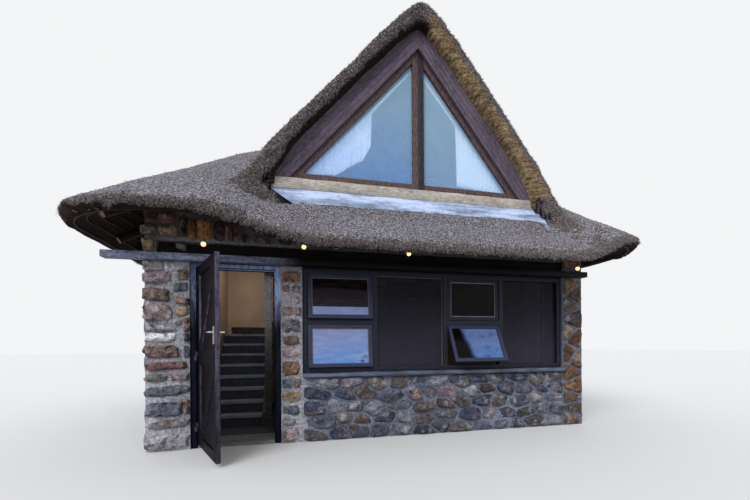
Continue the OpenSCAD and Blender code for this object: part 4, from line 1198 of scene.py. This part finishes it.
def eave_outline(inset, step=0.16):
    """Points round the roof in plan, a distance inside the eave: front, rounded corners, sides and back"""
    reach, corner = ROOF_X - inset, EAVE_CORNER - inset
    middle_x, middle_y = ROOF_X - EAVE_CORNER, ROOF_FRONT_Y + EAVE_CORNER
    points = []
    for x in np.arange(-middle_x, middle_x, step):
        points.append((x, ROOF_FRONT_Y + inset))
    for a in np.arange(-math.pi / 2, 0, step / max(corner, 0.2)):
        points.append((middle_x + corner * math.cos(a), middle_y + corner * math.sin(a)))
    for y in np.arange(middle_y, 0, step):
        points.append((reach, y))
    for a in np.arange(0, math.pi, step / reach):
        points.append((reach * math.cos(a), reach * math.sin(a)))
    for y in np.arange(0, middle_y, -step):
        points.append((-reach, y))
    for a in np.arange(math.pi, 1.5 * math.pi, step / max(corner, 0.2)):
        points.append((-middle_x + corner * math.cos(a), middle_y + corner * math.sin(a)))
    return points


def sweep(bm, ring, radius, sides=6):
    """A closed rod along a ring of points"""
    rows = []
    for i, p in enumerate(ring):
        along = (ring[(i + 1) % len(ring)] - ring[i - 1]).normalized()
        out = along.cross(Vector((0, 0, 1))).normalized()
        over = out.cross(along)
        rows.append([bm.verts.new(p + (out * math.cos(a) + over * math.sin(a)) * radius)
                     for a in (math.tau * k / sides for k in range(sides))])
    for i, row in enumerate(rows):
        before = rows[i - 1]
        for k in range(sides):
            bm.faces.new([before[k - 1], before[k], row[k], row[k - 1]])
    bmesh.ops.recalc_face_normals(bm, faces=bm.faces)


class COTTAGE_OT_thatch(bpy.types.Operator):
    """Turn the roof's shells into one body of thatch with soft valleys, and comb reeds over it"""
    bl_idname = "cottage.thatch"
    bl_label = "Thatch"

    def execute(self, context):
        s = context.scene.cottage_thatch
        mesh = self.body(s)
        points, normals, areas, corners = self.triangles(mesh)
        run, _, verge, low_edge, under = reed_fields(points, normals)
        rng = np.random.default_rng(11)
        self.roof_reeds(s, rng, corners, normals, areas * ~(verge | low_edge | under), run)
        self.edge_reeds(s, rng, corners, normals, areas * (verge | low_edge), run, low_edge)
        return {"FINISHED"}

    def body(self, s):
        """The thatch itself: the two shells as one evenly meshed, slightly lumpy body"""
        scratch = link("thatch_scratch", to_mesh("thatch", node_shape("main_thatch", "dormer_thatch")))
        remesh = scratch.modifiers.new("even_grid", "REMESH")
        remesh.mode = "VOXEL"
        remesh.voxel_size = s.voxel
        even = bpy.data.meshes.new_from_object(scratch.evaluated_get(bpy.context.evaluated_depsgraph_get()))
        bpy.data.objects.remove(scratch)
        bm = bmesh.new()
        bm.from_mesh(even)
        valley = [v for v in bm.verts if v.co.z > 2.95 and v.co.y > FRONT_Y]
        for part in (bm.verts[:], valley, valley, valley, valley):
            bmesh.ops.smooth_vert(bm, verts=part, factor=0.5, use_axis_x=True, use_axis_y=True, use_axis_z=True)
        bm.normal_update()
        for v in bm.verts:
            lump = noise.fractal(v.co * 1.4, 1.0, 2.0, 2) * 0.012 + noise.fractal(v.co * 8, 1.0, 2.0, 2) * 0.006
            v.co += v.normal * (lump + 0.008)
        self.slim_verge(bm)
        self.clear_apron(bm)
        bm.normal_update()
        piece = add_piece("thatch", to_mesh("thatch", bm), "thatch",
                          stands_for=("main_thatch", "dormer_thatch"))
        self.mark(piece.data)
        return piece.data

    def mark(self, mesh):
        """Tells the finish where the thatch is cut, where it is underside or straw, and how the reeds run"""
        points, normals = read(mesh.vertices, "co", 3), read(mesh.vertex_normals, "vector", 3)
        _, on_dormer, verge, low_edge, under = reed_fields(points, normals)
        golden = golden_side(points) & on_dormer & (under | verge)
        for name, values in (("cut_face", verge | low_edge), ("under_side", under), ("golden_side", golden)):
            layer = mesh.attributes.new(name, "FLOAT", "POINT")
            layer.data.foreach_set("value", values.astype(np.float32))
        x, y, z = points.T
        across = np.where(on_dormer, y, np.arctan2(x, y) * 2.6)
        down = np.where(on_dormer, z * 1.3, np.hypot(x, y) * 1.25)
        corners = read(mesh.loops, "vertex_index", 1, np.int32)[:, 0]
        layer = mesh.uv_layers.new(name="reed_run")
        layer.data.foreach_set("uv", np.stack([across, down], axis=1)[corners].astype(np.float32).ravel())

    def slim_verge(self, bm):
        """The verge's inner side is trimmed back from the planks and its outer side stands up a little"""
        for v in bm.verts:
            side, t = over_gable(v.co)
            forward = clamp((-2.80 - v.co.y) / 0.2)
            low = clamp((v.co.z - SILL_Z - 0.05) / 0.3)
            if forward * low == 0 or not -0.08 < t < 0.42:
                continue
            from_ridge = abs(v.co.x - DORMER_X)
            share = clamp(t / 0.2)
            outer = (0.03 if side < 0 else 0.06) * min(1, from_ridge / 0.5)
            move = (0.075 * (1 - share) + outer * share) * forward * low
            pitch = LEFT_PITCH if side < 0 else RIGHT_PITCH
            v.co.x += side * math.sin(pitch) * move * min(1, from_ridge / 0.2)
            v.co.z += math.cos(pitch) * move

    def clear_apron(self, bm):
        """The thatch covers the apron's foot, lies under its bare part and is worn low beside it"""
        lo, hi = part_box("dormer_apron")
        for v in bm.verts:
            x, y, z = v.co
            if y > FRONT_Y - 0.10 or z < 2.5 or v.normal.z < 0.1:
                continue
            left = clamp((x + 1.85) / 0.35) * clamp((-0.75 - x) / 0.3)
            cap = 2.765 + (y + 3.25) * 0.42
            if left and cap < z < cap + 0.16:
                v.co.z -= (z - cap) * left
            foot = APRON_FOOT_Y + noise.noise(Vector((x * 2.3, 0, 4))) * 0.02
            if lo.x + 0.1 < x < hi.x and lo.y - 0.06 < y < foot:
                rise = min(1, (x - lo.x - 0.1) / 0.3, (hi.x - x) / 0.1)
                top = apron_slope(y) + 0.010 + noise.noise(v.co * 9) * 0.008
                v.co.z = max(v.co.z, v.co.z + (top - v.co.z) * rise)
        points = np.array([v.co[:] for v in bm.verts])
        for v, above in zip(bm.verts, points[:, 2] - apron_top(points) + 0.02):
            if 0 < above < 0.2:
                v.co.z -= above

    def triangles(self, mesh):
        """Middle, normal, area and corners of each triangle"""
        mesh.calc_loop_triangles()
        index = read(mesh.loop_triangles, "vertices", 3, np.int32)
        corners = read(mesh.vertices, "co", 3)[index]
        cross = np.cross(corners[:, 1] - corners[:, 0], corners[:, 2] - corners[:, 0])
        return corners.mean(axis=1), unit(cross), np.linalg.norm(cross, axis=1) / 2, corners

    def sow(self, rng, corners, weights, count):
        """Places spread over the triangles, more on those with more weight"""
        picked = rng.choice(len(corners), count, p=weights / weights.sum())
        a, b = rng.random(count), rng.random(count)
        over = a + b > 1
        a[over], b[over] = 1 - a[over], 1 - b[over]
        c = corners[picked]
        return picked, c[:, 0] + (c[:, 1] - c[:, 0]) * a[:, None] + (c[:, 2] - c[:, 0]) * b[:, None]

    def tones(self, s, rng, count, brown):
        """A tone for each reed, between the dark and the light one, and warmer for the brown reeds"""
        mix = np.clip(rng.normal(0.45, 0.30, count), 0, 1)[:, None]
        tone = np.array(s.dark)[None] * (1 - mix) + np.array(s.light)[None] * mix
        warm = np.array([1.04, 0.97, 0.91])
        return tone * np.where(brown[:, None], warm, 1.0)

    def reeds(self, name, places, along, up, lengths, widths, tones):
        """The reeds as two joined meshes, name_a and name_b"""
        half = len(places) // 2
        for suffix, part in (("_a", slice(0, half)), ("_b", slice(half, None))):
            shape = bmesh.new()
            bmesh.ops.create_cone(shape, cap_ends=True, segments=3, radius1=0.5, radius2=0.16, depth=1.0)
            bmesh.ops.translate(shape, verts=shape.verts, vec=(0, 0, 0.5))
            turns = frames_along(along[part], up[part], lengths[part], widths[part], widths[part])
            mesh = copies(name + suffix, shape, places[part], turns, tones[part], "reed_tint")
            add_piece(name + suffix, mesh, "reed", smooth=False)

    def roof_reeds(self, s, rng, corners, normals, weights, run):
        """Loose ends that lie down the slopes, but not on the bare apron"""
        picked, places = self.sow(rng, corners, weights, s.roof_reeds)
        clear = apron_top(places) > 90
        picked, places = picked[clear], places[clear]
        count = len(picked)
        up = normals[picked]
        along = unit(run[picked] + up * rng.uniform(0.05, 0.5, (count, 1)) + rng.normal(0, 0.22, (count, 3)))
        lengths = rng.uniform(0.035, 0.085, count)
        widths = rng.uniform(0.004, 0.009, count)
        places = places - up * 0.006 - along * (lengths * 0.35)[:, None]
        tones = self.tones(s, rng, count, rng.random(count) < 0.35)
        self.reeds("roof_reeds", places, along, up, lengths, widths, tones)

    def edge_reeds(self, s, rng, corners, normals, weights, run, low_edge):
        """Cut ends that stick out of the eave and of the dormer's verge"""
        picked, places = self.sow(rng, corners, weights, s.edge_reeds)
        count = len(picked)
        up = normals[picked]
        at_eave = low_edge[picked]
        drop = np.array([0, 0, -1.0])
        lean = np.where(at_eave[:, None], run[picked] * 0.9 + drop * 0.35, run[picked] * 0.5 + up * 0.8)
        along = unit(lean + rng.normal(0, 0.16, (count, 3)))
        lengths = np.where(at_eave, rng.uniform(0.03, 0.075, count), rng.uniform(0.02, 0.06, count))
        widths = rng.uniform(0.004, 0.008, count)
        places = places - along * (lengths * 0.55)[:, None]
        side = np.where(np.abs(up[:, 2:3]) > 0.9, np.array([[1.0, 0, 0]]), np.array([[0, 0, 1.0]]))
        tones = self.tones(s, rng, count, np.ones(count, bool)) * 0.85
        tones[golden_side(places) & ~at_eave] *= np.array([1.30, 1.05, 0.74])
        self.reeds("edge_reeds", places, along, side, lengths, widths, tones)


class COTTAGE_OT_roof_timbers(bpy.types.Operator):
    """Finish the poles, plates and laths under the thatch"""
    bl_idname = "cottage.roof_timbers"
    bl_label = "Roof Timbers"

    def execute(self, context):
        for node in ("rafters", "dormer_rafters", "wall_plate", "loft_joists"):
            dress(node, "poles")
        dress("loft_floor", "loft")
        self.laths()
        return {"FINISHED"}

    def laths(self):
        """Rows of thin laths under the overhang, which follow the eave's outline"""
        bm = bmesh.new()
        bm.from_mesh(bpy.data.objects["thatch"].data)
        tree = BVHTree.FromBMesh(bm)
        bm.free()
        shape = bmesh.new()
        for inset in (0.13, 0.23, 0.33, 0.43, 0.53, 0.63):
            ring = []
            for x, y in eave_outline(inset):
                hit = tree.ray_cast(Vector((x, y, 1.7)), Vector((0, 0, 1)))[0]
                ring.append(Vector((x, y, hit.z - 0.004)))
            sweep(shape, ring, 0.009)
        add_piece("eave_laths", to_mesh("eave_laths", shape), "lath")


class COTTAGE_OT_dormer(bpy.types.Operator):
    """Finish the dormer's boards, frame, panes, sill beam and apron, and hang its curtains"""
    bl_idname = "cottage.dormer"
    bl_label = "Dormer"

    def execute(self, context):
        timber("barge_planks", "barge_boards", "barge", 0.006)
        self.verge_planks()
        timber("dormer_inner_frame", "dormer_frame", "red_frame", 0.006)
        uneven("sill_beam", "dormer_sill", "sill_beam", 0.012, 0.12, 0.006, 6)
        dress("dormer_glass", "dormer_glass")
        dress("dormer_apron", "apron")
        self.curtain("left_curtain", [(-1.10, 3.262), (-0.322, 4.095), (0.255, 4.735)],
                     [(-1.10, 3.245), (-0.722, 3.267), (-0.555, 3.387), (-0.386, 3.489), (-0.288, 3.669),
                      (-0.272, 4.088), (0.255, 4.700)], (2.05, 0.5), 0.0)
        self.curtain("right_curtain", [(0.443, 4.640), (0.925, 4.110), (1.60, 3.286)],
                     [(0.443, 4.590), (0.872, 4.078), (0.888, 3.273), (1.226, 3.252), (1.60, 3.241)],
                     (1.80, 0.65), 5.0)
        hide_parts("dormer_curtains")
        return {"FINISHED"}

    def verge_planks(self):
        """One more plank on each slope, above the barge boards and up against the thatch"""
        lo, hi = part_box("barge_boards")
        width = 0.1
        bm = bmesh.new()
        for side, pitch in ((-1, LEFT_PITCH), (1, RIGHT_PITCH)):
            out = Vector((side * math.sin(pitch), 0, math.cos(pitch)))
            peak = Vector((DORMER_X, lo.y + 0.004, PEAK_Z))
            foot = Vector(((lo if side < 0 else hi).x, lo.y + 0.004, SILL_Z))
            rise = Vector((0, 0, width / math.cos(pitch)))
            plank(bm, (foot, peak, peak + rise, foot + out * width), Vector((0, 0.03, 0)))
        bmesh.ops.recalc_face_normals(bm, faces=bm.faces)
        add_piece("verge_planks", to_mesh("verge_planks", bm), "barge", smooth=False)

    def curtain(self, name, top, hem, flat, seed):
        """A thin gathered sheet that hangs in upright folds from a sloping line down to its lower edge"""
        columns, rows = 240, 18
        across = np.linspace(top[0][0], top[-1][0], columns)
        upper, lower = (np.interp(across, *zip(*line)) for line in (top, hem))
        bm = bmesh.new()
        bmesh.ops.create_grid(bm, x_segments=columns - 1, y_segments=rows - 1, size=1)
        uvs = []
        for i, vert in enumerate(bm.verts):
            column, row = i % columns, rows - 1 - i // columns
            x = across[column]
            drop = upper[column] - lower[column]
            full = min(1.0, drop / 0.35)
            down = row / (rows - 1)
            z = upper[column] - drop * down
            bend = noise.noise(Vector((seed, z * 1.6, x * 1.5)))
            wide = math.sin(x * 47 + bend * 4.0 + seed)
            fold = (math.sin(x * 96 + bend * 6.0 + wide * 0.8) * 0.6 + wide * 0.4) * full
            vert.co = (x + fold * 0.003, CURTAIN_Y + 0.020 + fold * (0.005 + 0.011 * down), z)
            uvs.append((x * 1.3, z))
        mesh = to_mesh(name, bm)
        layer = mesh.uv_layers.new(name="weave")
        for loop in mesh.loops:
            layer.data[loop.index].uv = uvs[loop.vertex_index]
        piece = add_piece(name, mesh, "cloth")
        thick = piece.modifiers.new("cloth_thickness", "SOLIDIFY")
        thick.thickness = 0.0015
        thick.offset = 0


class COTTAGE_OT_windows(bpy.types.Operator):
    """Finish the window band: its frame, sashes, beads, panes and sill"""
    bl_idname = "cottage.windows"
    bl_label = "Window Band"

    def execute(self, context):
        for name, node, paint in (("window_frame_bars", "window_frame", "navy"),
                                  ("left_sash_bars", "left_sashes", "sash"),
                                  ("upper_right_sash_bars", "upper_right_sash", "navy"),
                                  ("lower_right_sash_bars", "lower_right_sash", "sash")):
            timber(name, node, paint)
        dress("window_glass", "dark_glass")
        dress("sash_glass", "sash_glass")
        self.beads()
        self.rods()
        uneven("cement_sill", "window_sill", "cement", 0.012, 0.10, 0.008, 8)
        return {"FINISHED"}

    def beads(self):
        """Thin strips round the panes: orange-brown in the first two bays, pale in the third one's upper light"""
        strips = {"orange_beads": bmesh.new(), "pale_beads": bmesh.new()}
        for node in ("window_glass", "sash_glass"):
            panes = node_shape(node)
            for face in panes.faces:
                if face.normal.y > -0.7 or face.calc_area() < 0.05:
                    continue
                middle = face.calc_center_median()
                if middle.x < MULLION_2_X:
                    key = "orange_beads"
                elif middle.x < MULLION_3_X and middle.z > TRANSOM_Z:
                    key = "pale_beads"
                else:
                    continue
                corners = [v.co.copy() for v in face.verts]
                for i, a in enumerate(corners):
                    b = corners[(i + 1) % len(corners)]
                    if key == "orange_beads" and a.z < middle.z and b.z < middle.z:
                        continue
                    inward = face.normal.cross(b - a).normalized()
                    if inward.dot(middle - a) < 0:
                        inward = -inward
                    foot = [p + face.normal * 0.0005 for p in (a, b, b + inward * 0.009, a + inward * 0.009)]
                    plank(strips[key], foot, face.normal * 0.008)
            panes.free()
        for name, bm in strips.items():
            bmesh.ops.recalc_face_normals(bm, faces=bm.faces)
            add_piece(name, to_mesh(name, bm), "bead" if name == "orange_beads" else "pale_bead",
                      smooth=False)

    def rods(self):
        """Two thin guard rods behind each upper hung light"""
        bm = bmesh.new()
        for x0, x1, heights in ((WINDOW_X0 + 0.04, MULLION_1_X, (1.933, 1.729)),
                                (MULLION_2_X, MULLION_3_X, (1.911, 1.716))):
            for z in heights:
                middle = Matrix.Translation(((x0 + x1) / 2, FRONT_Y + 0.102, z))
                bmesh.ops.create_cone(bm, cap_ends=True, segments=10, radius1=0.004, radius2=0.004, depth=x1 - x0,
                                      matrix=middle @ Matrix.Rotation(math.pi / 2, 4, "Y"))
        add_piece("guard_rods", to_mesh("guard_rods", bm), "silver")


class COTTAGE_OT_entrance(bpy.types.Operator):
    """Finish the entrance door, its frame, handles and hinges, and the floor and stair behind it"""
    bl_idname = "cottage.entrance"
    bl_label = "Entrance"

    def execute(self, context):
        timber("door_frame_bars", "door_frame", "jamb")
        timber("door_boards", "door_leaf", "door", body="door")
        for node, material in (("door_threshold", "tread"), ("door_handle", "silver"), ("door_hinges", "iron"),
                               ("door_hinge_pins", "iron"), ("floor_slab", "screed"), ("stair_treads", "tread"),
                               ("stair_risers", "stair"), ("stair_strings", "string")):
            dress(node, material)
        return {"FINISHED"}


class COTTAGE_OT_lintel(bpy.types.Operator):
    """Hew the lintel log and finish the painted rail in front of it"""
    bl_idname = "cottage.lintel"
    bl_label = "Lintel and Rail"

    def execute(self, context):
        uneven("lintel_log", "lintel_beam", "log", 0.06, 0.11, 0.02, 4, segments=4)
        timber("rail_board", "front_rail", "rail", 0.005)
        return {"FINISHED"}


def seen_ray(nodes):
    """1 for rays from the camera and for those that metal and glass pass on, and 0 for light on the walls"""
    path = [nodes.node("ShaderNodeLightPath", output=name)
            for name in ("Is Camera Ray", "Is Glossy Ray", "Is Transmission Ray")]
    return nodes.node("ShaderNodeMath", {"operation": "ADD", "use_clamp": True},
                      {0: path[0] + path[1], 1: path[2]})


def shine(name, kind, energy, colour, place=(0, 0, 0), turn=(0, 0, 0), **more):
    """One lamp, turned by the given degrees"""
    lamp = bpy.data.lights.new(name, kind)
    lamp.energy = energy
    lamp.color = colour
    for key, value in more.items():
        setattr(lamp, key, value)
    holder = link(name, lamp)
    holder.location = place
    holder.rotation_euler = [math.radians(a) for a in turn]
    return holder


class COTTAGE_OT_bulbs(bpy.types.Operator):
    """Hang the four small lamps under the front eave"""
    bl_idname = "cottage.bulbs"
    bl_label = "Eave Lamps"

    def execute(self, context):
        globes, holders = bmesh.new(), bmesh.new()
        for x, z in ((-2.138, 2.197), (-1.143, 2.223), (0.039, 2.210), (2.324, 2.137)):
            here = Vector((x, BULB_Y, z))
            bmesh.ops.create_uvsphere(globes, u_segments=20, v_segments=12, radius=0.024,
                                      matrix=Matrix.Translation(here))
            bmesh.ops.create_cone(holders, cap_ends=True, segments=16, radius1=0.016, radius2=0.012, depth=0.05,
                                  matrix=Matrix.Translation(here + Vector((0, 0, 0.042))))
            bmesh.ops.create_cone(holders, cap_ends=True, segments=8, radius1=0.003, radius2=0.003, depth=0.12,
                                  matrix=Matrix.Translation(here + Vector((0, 0, 0.12))))
        add_piece("eave_lamp_globes", to_mesh("eave_lamp_globes", globes), "glow")
        add_piece("eave_lamp_holders", to_mesh("eave_lamp_holders", holders), "iron")
        return {"FINISHED"}


class COTTAGE_OT_stage(bpy.types.Operator):
    """Set the floor, the soft light and the camera"""
    bl_idname = "cottage.stage"
    bl_label = "Stage"

    def execute(self, context):
        s = context.scene.cottage_stage
        bm = bmesh.new()
        bmesh.ops.create_grid(bm, x_segments=2, y_segments=2, size=60)
        ground = link("studio_floor", to_mesh("studio_floor", bm))
        f = Finish("studio_floor", 0.9)
        f.put("Base Color", f.blend(seen_ray(f), tuple(c * 0.42 for c in s.floor), tuple(s.floor)))
        ground.data.materials.append(f.material)
        self.light(context, s)
        self.camera(context, s)
        return {"FINISHED"}

    def light(self, context, s):
        """Soft light from all round, a broad lamp, a warm one inside, and daylight by the door and the curtains"""
        world = bpy.data.worlds.new("studio_world")
        context.scene.world = world
        sky = Nodes(world)
        lit = sky.node("ShaderNodeBackground", None, {"Color": (0.93, 0.96, 1.0, 1), "Strength": s.sky})
        seen = sky.node("ShaderNodeBackground", None, {"Color": (0.90, 0.91, 0.92, 1), "Strength": 1.0})
        sky.finish_with("ShaderNodeOutputWorld",
                        sky.node("ShaderNodeMixShader", None, {0: seen_ray(sky), 1: lit, 2: seen}))
        shine("soft_lamp", "SUN", s.lamp, (1, 1, 1), turn=(52, 0, -38), angle=math.radians(35))
        shine("room_lamp", "AREA", s.room, (1.0, 0.86, 0.68), (-1.95, -1.2, 3.0), size=0.5)
        door = shine("door_light", "AREA", s.door_light, (0.78, 0.87, 1.0), (-1.75, FRONT_Y + 0.55, 1.75),
                     (68, 0, 12), size=0.8)
        loft = shine("loft_light", "AREA", s.loft_light, (0.86, 0.92, 1.0), (0.25, CURTAIN_Y - 0.026, 3.95),
                     (90, 0, 0), shape="RECTANGLE", size=2.6, size_y=1.5)
        door.visible_camera = loft.visible_camera = False
        context.scene.view_settings.view_transform = "Standard"

    def camera(self, context, s):
        """The photograph's place, turn and lens"""
        data = bpy.data.cameras.new("camera")
        data.lens = s.lens
        data.sensor_width = 36
        data.shift_y = 0.1265
        data.clip_end = 300
        holder = link("camera", data)
        holder.matrix_world = (Matrix.Translation((-1.287, -7.445, 1.169))
                               @ Matrix.Rotation(math.radians(-13.16), 4, "Z")
                               @ Matrix.Rotation(math.radians(90), 4, "X")
                               @ Matrix.Rotation(math.radians(-0.36), 4, "Z"))
        context.scene.camera = holder


PIECE_OPERATORS = (COTTAGE_OT_walls, COTTAGE_OT_thatch, COTTAGE_OT_roof_timbers, COTTAGE_OT_dormer,
                   COTTAGE_OT_windows, COTTAGE_OT_entrance, COTTAGE_OT_lintel, COTTAGE_OT_bulbs, COTTAGE_OT_stage)
GROUPS = {"cottage_stone": CottageStone, "cottage_thatch": CottageThatch, "cottage_stage": CottageStage}


class COTTAGE_PT_panel(bpy.types.Panel):
    """Lists the cottage's pieces and their sizes"""
    bl_idname = "COTTAGE_PT_panel"
    bl_label = "Cottage"
    bl_space_type = "VIEW_3D"
    bl_region_type = "UI"
    bl_category = "Cottage"

    def draw(self, context):
        for group in GROUPS:
            box = self.layout.box()
            for key in getattr(context.scene, group).__annotations__:
                box.prop(getattr(context.scene, group), key)
        for operator in PIECE_OPERATORS:
            self.layout.operator(operator.bl_idname)


CLASSES = (*GROUPS.values(), *PIECE_OPERATORS, COTTAGE_PT_panel)


def register():
    for cls in CLASSES:
        bpy.utils.register_class(cls)
    for name, group in GROUPS.items():
        setattr(bpy.types.Scene, name, bpy.props.PointerProperty(type=group))


def unregister():
    for name in reversed(GROUPS):
        delattr(bpy.types.Scene, name)
    for cls in reversed(CLASSES):
        bpy.utils.unregister_class(cls)


def main():
    register()
    bpy.ops.cottage.stage()
    bpy.ops.cottage.walls()
    bpy.ops.cottage.thatch()
    bpy.ops.cottage.roof_timbers()
    bpy.ops.cottage.dormer()
    bpy.ops.cottage.windows()
    bpy.ops.cottage.entrance()
    bpy.ops.cottage.lintel()
    bpy.ops.cottage.bulbs()


if __name__ == "__main__":
    main()
